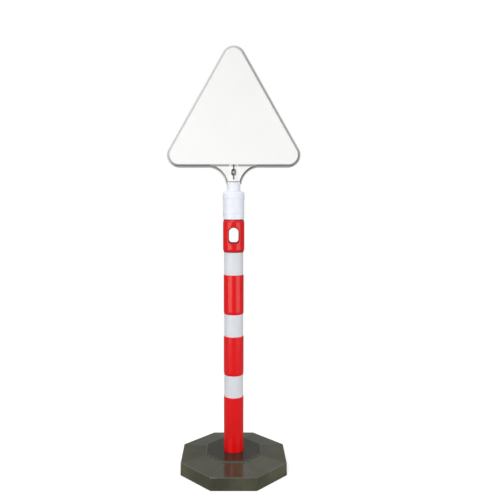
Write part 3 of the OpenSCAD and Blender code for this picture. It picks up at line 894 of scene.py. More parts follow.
BASE_RUBBER = make_base_rubber()
RED_PLASTIC = make_red_plastic()
REFLECTIVE_SHEET = make_reflective_sheet()
ADAPTOR_PLASTIC = make_white_plastic(
    "adaptor plastic",
    clean=srgb(229, 232, 242), shaded=srgb(232, 236, 245), worn=srgb(222, 226, 234), dusty=0.06,
)
SIGN_PLASTIC = make_white_plastic(
    "sign shell plastic",
    clean=srgb(239, 239, 238), shaded=srgb(242, 242, 241), worn=srgb(216, 216, 214), dusty=0.05,
)
PANEL_SHEET = make_panel_sheet()
RING_RUBBER = make_ring_rubber()
ZINC_STEEL = make_zinc_steel()


# Base

def octagon_radius(half_flats):
    return half_flats / math.cos(math.pi / BASE_SIDES)


def make_socket_tool():
    foot_radius = POST_RADIUS - FOOT_TAPER + FIT_GAP
    mouth_radius = POST_RADIUS + FIT_GAP
    lead_radius = mouth_radius + SOCKET_LEAD
    tool = draw_rings("socket tool", POST_SIDES, [
        (DRAIN_RADIUS, -OVERRUN),
        (DRAIN_RADIUS, SOCKET_FLOOR),
        (foot_radius, SOCKET_FLOOR),
        (mouth_radius, base_high.z - SOCKET_LEAD),
        (lead_radius, base_high.z),
        (lead_radius, base_high.z + OVERRUN),
    ])
    close_ends()
    return tool


def make_pocket_tool():
    """One pocket of the underside, narrower towards the post"""
    inner = POST_RADIUS + POCKET_INSET
    outer = base_high.x - WALL_DRAFT - POCKET_MARGIN
    lean = math.tan(math.pi / BASE_SIDES)
    narrowing = POCKET_RIB / 2 / math.cos(math.pi / BASE_SIDES)
    inner_half = inner * lean - narrowing
    outer_half = outer * lean - narrowing
    height = POCKET_DEPTH + OVERRUN
    centre = ((inner + outer) / 2, 0, height / 2 - OVERRUN)
    tool = make_block("pocket tool", centre, (outer - inner, 2 * inner_half, height))
    open_mesh(tool)
    pick("VERT", lambda corner: near(corner.co.x, outer))
    bpy.ops.transform.resize(value=(1, outer_half / inner_half, 1), center_override=(outer, 0, 0))
    pick("EDGE", lambda edge: is_level(edge, "x") and is_level(edge, "y"))
    round_selected(POCKET_ROUND)
    pick("EDGE", lies_at("z", POCKET_DEPTH))
    round_selected(EDGE_ROUND, steps=2)
    return tool


def is_crisp_edge(edge):
    """An edge of the base's wall corners, facets or platform, which gets a fine round"""
    upright = abs(edge.verts[0].co.z - edge.verts[1].co.z) > WALL_HEIGHT / 2
    above_wall = middle(edge).z > WALL_HEIGHT + WALL_ROUND
    turned = edge.calc_face_angle(0.0) > EDGE_LEAST_TURN
    return turned and middle(edge).z > TOUCH and (above_wall or upright)


def make_base():
    outline = [
        (base_high.x, base_low.z),
        (base_high.x - WALL_DRAFT, WALL_HEIGHT),
        (PLATFORM_HALF + STEP_LEAN, FACET_TOP),
        (PLATFORM_HALF, base_high.z),
    ]
    rings = [(octagon_radius(half), height) for half, height in outline]
    base = draw_rings("rubber_base", BASE_SIDES, rings, turn=math.pi / BASE_SIDES)
    close_ends()
    pick("EDGE", lies_at("z", WALL_HEIGHT))
    round_selected(WALL_ROUND)
    pick("EDGE", is_crisp_edge)
    round_selected(EDGE_ROUND, steps=3)
    for step in range(BASE_SIDES):
        tool = make_pocket_tool()
        turn_piece(tool, step * 2 * math.pi / BASE_SIDES)
        cut(base, tool)
    cut(base, make_socket_tool())
    finish_piece(base, BASE_RUBBER, "base", "base_rubber", "base_block")


# Post

def make_slot_tool(name, grow, low_y, high_y):
    """Block with the hand slot's outline: a round top and a flatter foot with rounded corners"""
    half = SLOT_WIDTH / 2 + grow
    low = SLOT_FOOT - grow
    high = SLOT_FOOT + SLOT_HEIGHT + grow
    clear_selection()
    bpy.ops.mesh.primitive_plane_add(
        size=1, location=(0, low_y, (low + high) / 2), rotation=(LAID_DOWN, 0, 0)
    )
    tool = new_piece(name, (2 * half, high - low, 1))
    open_mesh(tool)
    for level, reach in ((high, half), (low, SLOT_FOOT_ROUND + grow)):
        pick("VERT", lambda corner: near(corner.co.z, level))
        bpy.ops.mesh.bevel(
            offset=reach, segments=SLOT_CORNER_STEPS, profile=0.5, affect="VERTICES", clamp_overlap=False
        )
        select_whole()
        bpy.ops.mesh.remove_doubles(threshold=TOUCH)
    select_whole()
    draw_on((0, high_y - low_y, 0))
    tidy_faces()
    return tool


def pull_mouth(level, wider, taller):
    """Draw the tool's front face on to a flat ring at this depth"""
    pick("FACE", lambda face: len(face.verts) > 4 and face.normal.y < 0)
    draw_on((0, 0, 0))
    bpy.ops.transform.resize(value=(wider, 0, taller), center_override=(0, level, SLOT_CENTRE))


def lay_on_round(level, radius):
    """Bring each corner of a flat ring on to an upright round of this radius"""
    mesh = bmesh.from_edit_mesh(bpy.context.edit_object.data)
    places = {round(corner.co.x, 6) for corner in mesh.verts if near(corner.co.y, level)}
    for x in sorted(places):
        pick("VERT", lambda corner: near(corner.co.y, level) and near(corner.co.x, x))
        bpy.ops.transform.translate(value=(0, -math.sqrt(radius ** 2 - x ** 2) - level, 0))


def make_lip_tool():
    """Tool for the hand slot, whose mouths open in a round lip that follows the grip's round"""
    outside = -GRIP_RADIUS - OVERRUN
    tool = make_slot_tool("slot tool", 0.0, 0.0, -POST_RADIUS / 2)
    open_mesh(tool)
    half_width, half_height = SLOT_WIDTH / 2, SLOT_HEIGHT / 2
    for step in range(SLOT_LIP_STEPS + 1):
        turn = step / SLOT_LIP_STEPS * math.pi / 2
        grow = SLOT_LIP * (1 - math.cos(turn))
        next_width, next_height = SLOT_WIDTH / 2 + grow, SLOT_HEIGHT / 2 + grow
        pull_mouth(outside, next_width / half_width, next_height / half_height)
        lay_on_round(outside, GRIP_RADIUS - SLOT_LIP * (1 - math.sin(turn)))
        half_width, half_height = next_width, next_height
    pull_mouth(outside, 1, 1)
    pick("FACE", lambda face: len(face.verts) > 4 and face.normal.y > 0)
    bpy.ops.mesh.delete(type="ONLY_FACE")
    apply_modifier(tool, "MIRROR", use_axis=(False, True, False))
    return tool


def post_outline():
    recess_radius = FILM_RADIUS - FILM_THICKNESS - FILM_GLUE
    foot_radius = POST_RADIUS - FOOT_TAPER
    spigot_radius = POST_RADIUS - SPIGOT_STEP
    points = [
        (foot_radius - FOOT_BEVEL, post_low.z),
        (foot_radius, post_low.z + FOOT_BEVEL),
        (POST_RADIUS, base_high.z),
    ]
    for name, (low, high) in band_boxes.items():
        recess_foot = low.z - FILM_MARGIN
        recess_top = high.z + FILM_MARGIN
        under_grip = (GRIP_RADIUS, recess_top + GRIP_TAPER)
        over_skirt = (POST_RADIUS, recess_top + SKIRT_HEIGHT)
        points += [
            (POST_RADIUS, recess_foot - TOP_BEVEL),
            (POST_RADIUS - TOP_BEVEL, recess_foot),
            (recess_radius, recess_foot),
            (recess_radius, recess_top),
            (SKIRT_RADIUS, recess_top),
            under_grip if name == "upper" else over_skirt,
        ]
    points += [
        (GRIP_RADIUS, GRIP_TOP - GRIP_TAPER),
        (POST_RADIUS - TOP_BEVEL, GRIP_TOP),
        (spigot_radius, GRIP_TOP),
        (spigot_radius, post_high.z - SPIGOT_BEVEL),
        (spigot_radius - SPIGOT_BEVEL, post_high.z),
    ]
    return points


def from_grip_end(height):
    return min(height - GRIP_FOOT, GRIP_TOP - height)


def grip_shade(face, place):
    """Painted shade round the slot's lip and along the grip's two ends"""
    across, height = abs(face.center.x), face.center.z
    if across < SLOT_WIDTH / 2 + SLOT_LIP and abs(height - SLOT_CENTRE) < SLOT_HEIGHT / 2 + SLOT_LIP:
        outwards = Vector((face.center.x, face.center.y, 0)).normalized()
        return level_between(1 - face.normal.dot(outwards), LIP_SHADE_TURNS, LIP_SHADE)
    if 0 < from_grip_end(height) < GRIP_TAPER:
        return max(0.0, 1 - from_grip_end(place.z) / GRIP_TAPER)
    return 0.0


def make_post():
    post = draw_rings("red_post", POST_SIDES, post_outline())
    close_ends()
    for name, (low, high) in band_boxes.items():
        soften_ring(POST_RADIUS, low.z - FILM_MARGIN - TOP_BEVEL, TOP_SOFT, steps=3)
        soften_ring(POST_RADIUS - TOP_BEVEL, low.z - FILM_MARGIN, LEDGE_SOFT, steps=2)
        soften_ring(SKIRT_RADIUS, high.z + FILM_MARGIN, SKIRT_SOFT, steps=3)
        if name != "upper":
            soften_ring(POST_RADIUS, high.z + FILM_MARGIN + SKIRT_HEIGHT, TAPER_ROUND, steps=4)
    soften_ring(GRIP_RADIUS, GRIP_FOOT + GRIP_TAPER, TAPER_ROUND, steps=5)
    soften_ring(GRIP_RADIUS, GRIP_TOP - GRIP_TAPER, TAPER_ROUND, steps=5)
    relief_floor = GRIP_RADIUS - RELIEF_DEPTH
    reach = GRIP_RADIUS + OVERRUN
    cut(post, make_slot_tool("front relief tool", RELIEF_REACH, -reach, -relief_floor))
    cut(post, make_slot_tool("rear relief tool", RELIEF_REACH, relief_floor, reach))
    cut(post, make_lip_tool())
    hole = make_rod("moulding hole tool", MOULDING_HOLE_RADIUS, 2 * MOULDING_HOLE_DEPTH, (0, 0, post_low.z))
    cut(post, hole)
    # Painted shade round the slot's lip and at the grip's ends
    mark_painted_shade(post, grip_shade)
    finish_piece(post, RED_PLASTIC, "post", "red_plastic", "post_tube")


def make_band(name):
    """A sheet wrapped round the post, whose ends meet at the back"""
    low, high = band_boxes[name]
    half_step = math.pi / POST_SIDES
    clear_selection()
    bpy.ops.mesh.primitive_cylinder_add(
        vertices=POST_SIDES, radius=high.x, depth=high.z - low.z, end_fill_type="NOTHING",
        location=(0, 0, (low.z + high.z) / 2), rotation=(0, 0, half_step),
    )
    band = new_piece(name + "_reflector")
    open_mesh(band)
    pick("FACE", lambda face: face.calc_center_median().y > high.x * math.cos(half_step) - TOUCH)
    bpy.ops.mesh.delete(type="FACE")
    apply_modifier(band, "SOLIDIFY", thickness=FILM_THICKNESS, offset=-1)
    open_mesh(band)
    pick("EDGE", lambda edge: is_level(edge, "z") and all(
        near(corner.co.xy.length, high.x) for corner in edge.verts))
    round_selected(FILM_THICKNESS / 4, steps=2)
    finish_piece(band, REFLECTIVE_SHEET, "post", "reflective_sheet", name + "_band")


# Adaptor and friction ring

def collar_radius(rise):
    share = rise / (SHOULDER_HEIGHT - SHOULDER_ROUND)
    return COLLAR_FOOT_RADIUS + (COLLAR_TOP_RADIUS - COLLAR_FOOT_RADIUS) * min(share, 1.0)


def bead_points(rise):
    """A moulded ring on the collar, as an arc that stands out from it"""
    arc_radius = ((BEAD_HEIGHT / 2) ** 2 + BEAD_PROUD ** 2) / (2 * BEAD_PROUD)
    points = []
    for step in range(BEAD_STEPS + 1):
        height = rise + BEAD_HEIGHT * (step / BEAD_STEPS - 0.5)
        proud = math.sqrt(arc_radius ** 2 - (height - rise) ** 2) - arc_radius + BEAD_PROUD
        points.append((collar_radius(height) + proud, adaptor_low.z + height))
    return points


def make_adaptor():
    foot = adaptor_low.z
    shoulder = foot + SHOULDER_HEIGHT
    neck_top = ring_low.z
    flange_foot = adaptor_high.z - FLANGE_HEIGHT
    flange_bevel = FLANGE_HEIGHT / 4
    adaptor = draw_rings("stepped_adaptor", POST_SIDES, [
        (COLLAR_FOOT_RADIUS, foot),
        *bead_points(BEAD_RISES[0]),
        *bead_points(BEAD_RISES[1]),
        (COLLAR_TOP_RADIUS, shoulder),
        (NECK_RADIUS, shoulder),
        (NECK_RADIUS, neck_top),
        (STUB_RADIUS, neck_top),
        (STUB_RADIUS, flange_foot),
        (FLANGE_RADIUS, flange_foot),
        (FLANGE_RADIUS, adaptor_high.z - flange_bevel),
        (FLANGE_RADIUS - flange_bevel, adaptor_high.z),
        (STUB_BORE_RADIUS, adaptor_high.z),
        (STUB_BORE_RADIUS, neck_top - NECK_WALL),
        (NECK_CORE_RADIUS, neck_top - NECK_WALL),
        (NECK_CORE_RADIUS, foot + COLLAR_BORE_HEIGHT),
        (COLLAR_BORE_RADIUS, foot + COLLAR_BORE_HEIGHT),
        (COLLAR_BORE_RADIUS, foot),
    ])
    join_ends()
    soften_ring(COLLAR_TOP_RADIUS, shoulder, SHOULDER_ROUND, steps=8)
    soften_ring(NECK_RADIUS, shoulder, NECK_FILLET, steps=6)
    soften_ring(NECK_RADIUS, neck_top, COLUMN_SOFT, steps=3)
    soften_ring(COLLAR_FOOT_RADIUS, foot, COLLAR_SOFT, steps=3)
    soften_ring(COLLAR_BORE_RADIUS, foot, COLLAR_BORE_SOFT, steps=2)
    finish_piece(adaptor, ADAPTOR_PLASTIC, "adaptor", "adaptor_plastic", "adaptor")


def make_friction_ring():
    inner = STUB_RADIUS + FIT_GAP
    top = ring_high.z - RING_CLEARANCE
    ring = draw_rings("friction_ring", POST_SIDES, [
        (inner, ring_low.z), (ring_high.x, ring_low.z), (ring_high.x, top), (inner, top),
    ])
    join_ends()
    for level in (ring_low.z, top):
        soften_ring(ring_high.x, level, RING_SOFT, steps=3)
    finish_piece(ring, RING_RUBBER, "adaptor", "ring_rubber", "swivel_ring")


# Sign head

def draw_triangle(name, corner_radius, depth):
    """A ring cut in three, whose thirds move out to the corners of a triangle"""
    centre = Vector((0, -depth, SIGN_CENTRE))
    half_step = math.pi / CORNER_STEPS
    clear_selection()
    bpy.ops.mesh.primitive_circle_add(
        vertices=CORNER_STEPS, radius=corner_radius, location=centre, rotation=(LAID_DOWN, half_step, 0)
    )
    piece = new_piece(name)
    open_mesh(piece)
    for heading in CORNER_HEADINGS:
        out = Vector((math.cos(math.radians(heading)), 0, math.sin(math.radians(heading))))
        pick("VERT", lambda corner: (corner.co - centre).normalized().dot(out) > CORNER_THIRD)
        bpy.ops.transform.translate(value=out * CORNER_SPREAD)
    return piece


def draw_flares():
    """Break the triangle's lower edge and carry it down past the foot in two arcs"""
    arc_x = FLARE_FOOT + FLARE_RADIUS
    arc_z = SIGN_FOOT - FLARE_DROP
    start_x = arc_x - math.sqrt(FLARE_RADIUS ** 2 - (LOWER_EDGE - arc_z) ** 2)
    start_turn = math.asin((LOWER_EDGE - arc_z) / FLARE_RADIUS)
    pick("EDGE", lambda edge: is_level(edge, "z") and edge.calc_length() > CORNER_SPREAD)
    bpy.ops.mesh.subdivide(number_cuts=2)
    for side in (-1, 1):
        pick("VERT", lambda corner: 0 < side * corner.co.x < SIGN_HALF_WIDTH / 2
             and corner.co.z < LOWER_EDGE + TOUCH * 10)
        mesh = bmesh.from_edit_mesh(bpy.context.edit_object.data)
        chosen = next(corner for corner in mesh.verts if corner.select)
        bpy.ops.transform.translate(value=(side * start_x - chosen.co.x, 0, LOWER_EDGE - chosen.co.z))
    pick("EDGE", lambda edge: near(middle(edge).x, 0) and near(middle(edge).z, LOWER_EDGE))
    bpy.ops.mesh.delete(type="EDGE")
    for side in (-1, 1):
        pick("VERT", lambda corner: near(corner.co.x, side * start_x) and near(corner.co.z, LOWER_EDGE))
        bpy.ops.mesh.spin(
            steps=FLARE_STEPS, angle=side * start_turn, center=(side * arc_x, 0, arc_z), axis=(0, 1, 0)
        )
    pick("VERT", lambda corner: near(corner.co.z, arc_z))
    draw_on((0, 0, -2 * RIM_WIDTH))
    bpy.ops.mesh.edge_face_add()


def fill_outline():
    """Fill the outline that was drawn and turn the face to the front"""
    select_whole()
    bpy.ops.mesh.edge_face_add()
    mesh = bmesh.from_edit_mesh(bpy.context.edit_object.data)
    mesh.faces.ensure_lookup_table()
    if mesh.faces[0].normal.y > 0:
        bpy.ops.mesh.flip_normals()


def make_upright_bar(name, radius, low, high, soft=0.0):
    bar = draw_rings(name, POST_SIDES, [(radius, low), (radius, high)])
    close_ends()
    if soft:
        soften_ring(radius, high, soft, steps=3)
    return bar


def make_web_tool():
    """Block in front of the webs, whose upper side carries the rim's slope on"""
    front = FACE_DEPTH - WEB_STEP
    reach = WEB_STEP + OVERRUN
    low = shell_low.z - OVERRUN
    high = LOWER_EDGE + SLOPE_RUN - WEB_STEP - WEB_LEDGE
    centre = (0, -front - reach / 2, (low + high) / 2)
    tool = make_block("web tool", centre, (2 * SIGN_HALF_WIDTH, reach, high - low))
    open_mesh(tool)
    pick("VERT", lambda corner: near(corner.co.z, high) and near(corner.co.y, -front - reach))
    bpy.ops.transform.translate(value=(0, 0, reach))
    return tool


def make_keeper_tool():
    """Bore for the swivel's stub, with a narrow foot that keeps its flange in"""
    foot_radius = STUB_RADIUS + FIT_GAP
    tool = draw_rings("keeper tool", POST_SIDES, [
        (foot_radius, SIGN_FOOT - OVERRUN),
        (foot_radius, SIGN_FOOT + KEEPER_HEIGHT),
        (COLUMN_BORE_RADIUS, SIGN_FOOT + KEEPER_HEIGHT),
        (COLUMN_BORE_RADIUS, adaptor_high.z + OVERRUN),
    ])
    close_ends()
    return tool


def make_groove_tool():
    depth = GROOVE_DEPTH + OVERRUN
    low = SIGN_FOOT + GROOVE_RISE
    high = COLUMN_TOP + OVERRUN
    centre = (0, -(COLUMN_RADIUS - GROOVE_DEPTH + depth / 2), (low + high) / 2)
    tool = make_block("groove tool", centre, (GROOVE_WIDTH, depth, high - low))
    open_mesh(tool)
    at_foot = lies_at("z", low)
    pick("EDGE", lambda edge: at_foot(edge) and not is_level(edge, "y"))
    round_selected(GROOVE_END_ROUND)
    return tool


def make_recess_tool():
    """Oval block for the recess round the clamp screw, narrower at its floor"""
    floor = COLUMN_RADIUS - RECESS_DEPTH
    reach = RECESS_DEPTH + OVERRUN
    narrowed = 1 - RECESS_TAPER
    centre = (0, -(floor + reach / 2), CLAMP_HEIGHT)
    tool = make_rod("recess tool", RECESS_WIDTH / 2, reach, centre, LAID_DOWN)
    open_mesh(tool)
    pick("VERT", lambda corner: near(corner.co.y, -floor))
    bpy.ops.transform.resize(value=(narrowed, 1, narrowed), center_override=(0, 0, CLAMP_HEIGHT))
    stretch = (RECESS_HEIGHT - RECESS_WIDTH) / 2
    for side in (-1, 1):
        pick("VERT", lambda corner: side * (corner.co.z - CLAMP_HEIGHT) > TOUCH)
        bpy.ops.transform.translate(value=(0, 0, side * stretch))
    return tool


def make_parting_tool():
    """Block behind the plane where the two halves of the sign head meet"""
    across = 4 * SIGN_HALF_WIDTH
    return make_block("parting tool", (0, COLUMN_RADIUS, SIGN_CENTRE), (across, 2 * COLUMN_RADIUS, across))


def by_column(place):
    return abs(place.x) < COLUMN_RADIUS and place.z < COLUMN_TOP


def is_parting_edge(edge):
    """The outer edge of the parting plane, away from the column"""
    sharp = edge.calc_face_angle(0.0) > PARTING_LEAST_TURN
    return sharp and not by_column(middle(edge)) and all(near(corner.co.y, 0) for corner in edge.verts)


def column_shade(face, place):
    """Painted shade in the groove and recess: deepest on their walls, less on the recess's floor, more on
    its left
    """
    sunk = face.center.xy.length < COLUMN_RADIUS - GROOVE_DEPTH / 4
    outside = abs(face.center.y) > COLUMN_RADIUS - RECESS_DEPTH - TOUCH
    if not (sunk and outside and abs(face.center.x) < RECESS_WIDTH / 2):
        return 0.0
    by_screw = abs(face.center.z - CLAMP_HEIGHT) < RECESS_HEIGHT / 2
    if by_screw and abs(face.normal.y) > RECESS_FLOOR_LOOK:
        return FLOOR_SHADE_LEFT if place.x * face.normal.y > 0 else FLOOR_SHADE_RIGHT
    return DEEP_SHADE


def rim_shade(face, place):
    """Painted shade on the rim's slopes, most in the crease, and more where they look down or to the right
    """
    if not SLOPE_LOOKS[0] < abs(face.normal.y) < SLOPE_LOOKS[1]:
        return 0.0
    across = Vector((face.normal.x, face.normal.z)).normalized()
    on_neck = face.center.z < LOWER_EDGE
    shade_level = RIM_SHADE - DOWN_SHADE * across.y + SIDE_SHADE * across.x + NECK_SHADE * on_neck
    return shade_level * level_between(abs(place.y), SLOPE_DEPTHS, NECK_SHARES if on_neck else RIM_SHARES)


# Painted shade on the sign shell: in the groove and recess by the column, and on the rim's slopes elsewhere
def shell_shade(face, place):
    return column_shade(face, place) if by_column(face.center) else rim_shade(face, place)


def draw_rim():
    """Raise the filled outline to the brim, and slope it in to the face"""
    select_whole()
    draw_on((0, -RIM_EDGE - OVERRUN, 0))
    bpy.ops.mesh.inset(thickness=BRIM_WIDTH, depth=BRIM_LEAN, use_even_offset=True)
    bpy.ops.mesh.inset(
        thickness=SLOPE_RUN - BRIM_WIDTH, depth=FACE_DEPTH - RIM_EDGE - BRIM_LEAN, use_even_offset=True
    )
    select_whole()
    bpy.ops.mesh.bisect(plane_co=(0, 0, shell_low.z), plane_no=(0, 0, 1), use_fill=True, clear_inner=True)


def make_shell(name, node, is_front):
    """One half of the sign head, made at the front and turned round for the back"""
    shell = draw_triangle(name, CORNER_RADIUS, -OVERRUN)
    draw_flares()
    fill_outline()
    draw_rim()
    cut(shell, make_web_tool())
    open_mesh(shell)
    pick("EDGE", lies_at("y", -RIM_EDGE))
    round_selected(RIM_ROUND)
    pick("EDGE", lies_at("y", -RIM_EDGE - BRIM_LEAN))
    round_selected(BRIM_ROUND, steps=2)
    tidy_faces()
    column = make_upright_bar("column bar", COLUMN_RADIUS, SIGN_FOOT, COLUMN_TOP, COLUMN_SOFT)
    combine(shell, column, "UNION")
    cut(shell, make_upright_bar("saddle tool", NECK_RADIUS + FIT_GAP, shell_low.z - OVERRUN, SIGN_FOOT))
    cut(shell, make_keeper_tool())
    if is_front:
        cut(shell, make_groove_tool())
    cut(shell, make_recess_tool())
    centre = (0, 0, CLAMP_HEIGHT)
    hole = make_rod("screw hole tool", SCREW_RADIUS + FIT_GAP, 4 * COLUMN_RADIUS, centre, LAID_DOWN)
    cut(shell, hole)
    cut(shell, make_parting_tool())
    open_mesh(shell)
    tidy_faces()
    pick("EDGE", is_parting_edge)
    round_selected(PARTING_ROUND, steps=2)
    tidy_faces()
    if not is_front:
        turn_piece(shell, math.pi)
    # Painted shade on the rim's slopes and in the groove and recess
    mark_painted_shade(shell, shell_shade)
    finish_piece(shell, SIGN_PLASTIC, "sign", "sign_plastic", node)


def make_panel(name, node, is_front):
    thickness = panel_high.y - panel_low.y
    panel = draw_triangle(name, CORNER_RADIUS - RIM_WIDTH, FACE_DEPTH)
    fill_outline()
    select_whole()
    draw_on((0, -thickness, 0))
    pick("EDGE", lies_at("y", -FACE_DEPTH - thickness))
    round_selected(PANEL_BEVEL, steps=3)
    tidy_faces()
    if not is_front:
        turn_piece(panel, math.pi)
    finish_piece(panel, PANEL_SHEET, "sign", "panel_sheet", node)


# Fasteners

def lay_forward(piece):
    """Lay a turned piece down at the clamp, so that its top looks to the front"""
    choose(piece)
    piece.rotation_euler = (LAID_DOWN, 0, 0)
    piece.location = (0, 0, CLAMP_HEIGHT)
    apply_place()


def make_clamp_screw():
    head_top = -screw_low.y
    seat = head_top - SCREW_HEAD_HEIGHT
    tip = -screw_high.y
    screw = draw_rings("clamp_screw_part", SMALL_SIDES, [
        (SCREW_RADIUS, tip), (SCREW_RADIUS, seat), (SCREW_HEAD_RADIUS, seat), (SCREW_HEAD_RADIUS, head_top),
    ])
    close_ends()
    soften_ring(SCREW_HEAD_RADIUS, head_top, SCREW_HEAD_SOFT, steps=4)
    soften_ring(SCREW_RADIUS, tip, SCREW_TIP_SOFT, steps=2)
    key = draw_rings("key tool", SCREW_KEY_SIDES, [
        (SCREW_KEY_RADIUS, head_top - SCREW_HEAD_HEIGHT / 2), (SCREW_KEY_RADIUS, head_top + OVERRUN),
    ])
    close_ends()
    cut(screw, key)
    lay_forward(screw)
    finish_piece(screw, ZINC_STEEL, "sign", "fastener_steel", "clamp_screw")


def make_clamp_washers():
    inner, outer = SCREW_RADIUS + FIT_GAP, washer_high.x
    top = washer_high.y
    seat = top - WASHER_THICKNESS
    front = draw_rings("clamp_washer_front", SMALL_SIDES, [
        (inner, seat), (outer, seat), (outer, top), (inner, top),
    ])
    join_ends()
    soften_ring(outer, top, WASHER_SOFT, steps=3)
    lay_forward(front)
    choose(front)
    bpy.ops.object.duplicate(linked=False)
    rear = new_piece("clamp_washer_rear")
    turn_piece(rear, math.pi)
    for washer in (front, rear):
        finish_piece(washer, ZINC_STEEL, "sign", "fastener_steel", "clamp_washers")


def make_clamp_nut():
    """Hexagon nut with its corners turned off, at the back"""
    low, high = nut_low.y, nut_high.y
    half_turn = math.pi / NUT_SIDES
    flats_half = (nut_high.z - nut_low.z) / 2
    corner_radius = flats_half / math.cos(half_turn)
    thickness = high - low
    rings = [(corner_radius, low), (corner_radius, high)]
    nut = draw_rings("clamp_nut_part", NUT_SIDES, rings, turn=half_turn)
    close_ends()
    cone = draw_rings("nut turning tool", SMALL_SIDES, [
        (flats_half + thickness / 2, low - OVERRUN),
        (flats_half + thickness / 2, high - thickness * NUT_CHAMFER_SHARE),
        (flats_half * NUT_FACE_SHARE, high),
    ])
    close_ends()
    combine(nut, cone, "INTERSECT")
    cut(nut, make_upright_bar("nut hole tool", SCREW_RADIUS + FIT_GAP / 2, low - OVERRUN, high + OVERRUN))
    open_mesh(nut)
    select_whole()
    bpy.ops.mesh.dissolve_degenerate(threshold=TOUCH)
    tidy_faces()
    lay_forward(nut)
    turn_piece(nut, math.pi)
    finish_piece(nut, ZINC_STEEL, "sign", "fastener_steel", "clamp_nut")


# The whole object

make_base()
make_post()
for band_name in band_boxes:
    make_band(band_name)
make_adaptor()
make_friction_ring()
make_shell("front_sign_shell", "front_shell", True)
make_shell("rear_sign_shell", "rear_shell", False)
make_panel("front_face_panel", "front_panel", True)
make_panel("rear_face_panel", "rear_panel", False)
make_clamp_screw()
make_clamp_washers()
make_clamp_nut()
hidden_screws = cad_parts["shell_screws"]
hidden_screws.data.materials.clear()
hidden_screws.data.materials.append(ZINC_STEEL)


# Stage: floor, light and camera

FLOOR_SIZE = 60.0
FLOOR_GLOW = 0.62
FLOOR_TONE = 0.42
FLOOR_FADE = (0.45, 1.1)
FLOOR_BOUNCE = 0.22
HORIZON_LEVEL = 0.35
ZENITH_LEVEL = 0.90
BRIGHT_RISE = (0.49, 0.61)

CAMERA_PLACE = (0.0, -2.1474, 1.0333)
CAMERA_DIP = math.radians(5.0)
CAMERA_LENS = 40.97
CAMERA_SENSOR = 36.0
CAMERA_SHIFT = 0.0326
CAMERA_REACH = 100.0


def grey(level):
    return (level, level, level, 1)


def background_rays(tree):
    """One for rays that see the plain background: those from the camera, straight or through glass"""
    rays = add_node(tree, "ShaderNodeLightPath").outputs
    return strongest(tree, rays["Is Camera Ray"], rays["Is Transmission Ray"])


def mix_shaders(tree, share, first, second):
    made = tree.nodes.new("ShaderNodeMixShader")
    for socket, source in zip(made.inputs, (share, first, second)):
        tree.links.new(source, socket)
    return made.outputs[0]


def make_floor():
    """Floor that shows the object's soft shadow and fades to plain white away from it"""
    clear_selection()
    bpy.ops.mesh.primitive_plane_add(size=FLOOR_SIZE, location=(0, 0, base_low.z))
    floor = new_piece("studio_floor")
    material = bpy.data.materials.new("pale floor")
    material.use_nodes = True
    tree = material.node_tree
    tree.nodes.clear()
    output = tree.nodes.new("ShaderNodeOutputMaterial")
    glow = add_node(tree, "ShaderNodeEmission", Color=WHITE, Strength=FLOOR_GLOW).outputs[0]
    matt = add_node(tree, "ShaderNodeBsdfDiffuse", Color=grey(FLOOR_TONE)).outputs[0]
    bounce = add_node(tree, "ShaderNodeBsdfDiffuse", Color=grey(FLOOR_BOUNCE)).outputs[0]
    plain = add_node(tree, "ShaderNodeEmission", Color=WHITE, Strength=1.0).outputs[0]
    both = tree.nodes.new("ShaderNodeAddShader")
    tree.links.new(glow, both.inputs[0])
    tree.links.new(matt, both.inputs[1])
    place = add_node(tree, "ShaderNodeTexCoord").outputs["Object"]
    away = add_range(tree, add_length(tree, place), *FLOOR_FADE)
    shown = mix_shaders(tree, away, both.outputs[0], plain)
    tree.links.new(mix_shaders(tree, background_rays(tree), bounce, shown), output.inputs["Surface"])
    floor.data.materials.append(material)


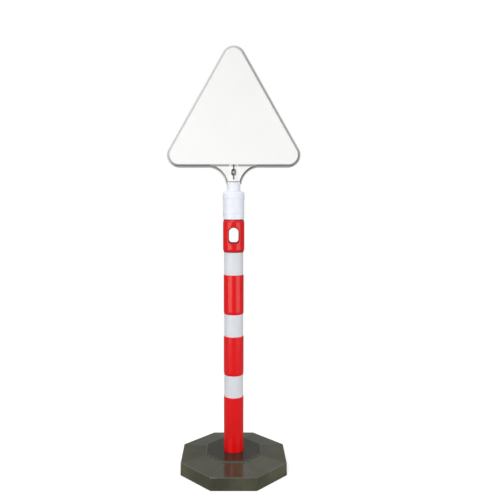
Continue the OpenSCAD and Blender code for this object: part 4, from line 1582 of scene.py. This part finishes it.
def make_sky():
    """White behind the object, and a soft light from above with a darker horizon for all else"""
    world = bpy.data.worlds.new("studio")
    bpy.context.scene.world = world
    world.use_nodes = True
    tree = world.node_tree
    tree.nodes.clear()
    output = tree.nodes.new("ShaderNodeOutputWorld")
    heading = add_node(tree, "ShaderNodeTexCoord").outputs["Generated"]
    level = add_range(tree, split(tree, heading)["Z"], *BRIGHT_RISE, HORIZON_LEVEL, ZENITH_LEVEL)
    light = add_node(tree, "ShaderNodeBackground", Color=WHITE, Strength=level).outputs[0]
    plain = add_node(tree, "ShaderNodeBackground", Color=WHITE, Strength=1.0).outputs[0]
    tree.links.new(mix_shaders(tree, background_rays(tree), light, plain), output.inputs["Surface"])


def add_softbox(name, heading, lift, distance, aim, size, level, mirrored=True):
    """A soft lamp that lights a face square to it at a level; heading 0 is the front, and left is minus"""
    turn, rise = math.radians(heading), math.radians(lift)
    away = Vector((math.sin(turn) * math.cos(rise), -math.cos(turn) * math.cos(rise), math.sin(rise)))
    lamp = bpy.data.lights.new(name, "AREA")
    lamp.shape = "RECTANGLE"
    lamp.size, lamp.size_y = size
    lamp.energy = level * math.pi ** 2 * distance ** 2
    holder = bpy.data.objects.new(name, lamp)
    bpy.context.scene.collection.objects.link(holder)
    holder.location = Vector((0, 0, aim)) + away * distance
    holder.rotation_euler = (-away).to_track_quat("-Z", "Y").to_euler()
    holder.visible_glossy = mirrored


def make_lamps():
    add_softbox("key softbox", heading=-24, lift=38, distance=6.0, aim=0.8, size=(2.0, 2.0), level=0.38)
    add_softbox("left panel", heading=-43, lift=0, distance=1.9, aim=0.72, size=(1.60, 1.25), level=0.40)
    add_softbox("right panel", heading=50, lift=0, distance=1.9, aim=0.72, size=(1.60, 1.25), level=0.31)
    add_softbox(
        "back softbox", heading=200, lift=50, distance=5.0, aim=0.8, size=(2.0, 2.0), level=0.30,
        mirrored=False,
    )
    add_softbox(
        "right fill", heading=92, lift=-10, distance=1.7, aim=0.60, size=(1.0, 0.6), level=0.20,
        mirrored=False,
    )


def make_camera():
    camera = bpy.data.objects.new("camera", bpy.data.cameras.new("camera"))
    bpy.context.scene.collection.objects.link(camera)
    camera.location = CAMERA_PLACE
    camera.rotation_euler = (math.pi / 2 - CAMERA_DIP, 0, 0)
    camera.data.lens = CAMERA_LENS
    camera.data.sensor_width = CAMERA_SENSOR
    camera.data.shift_x = CAMERA_SHIFT
    camera.data.clip_end = CAMERA_REACH
    bpy.context.scene.camera = camera


make_floor()
make_sky()
make_lamps()
make_camera()

bpy.context.scene.view_settings.view_transform = "Standard"
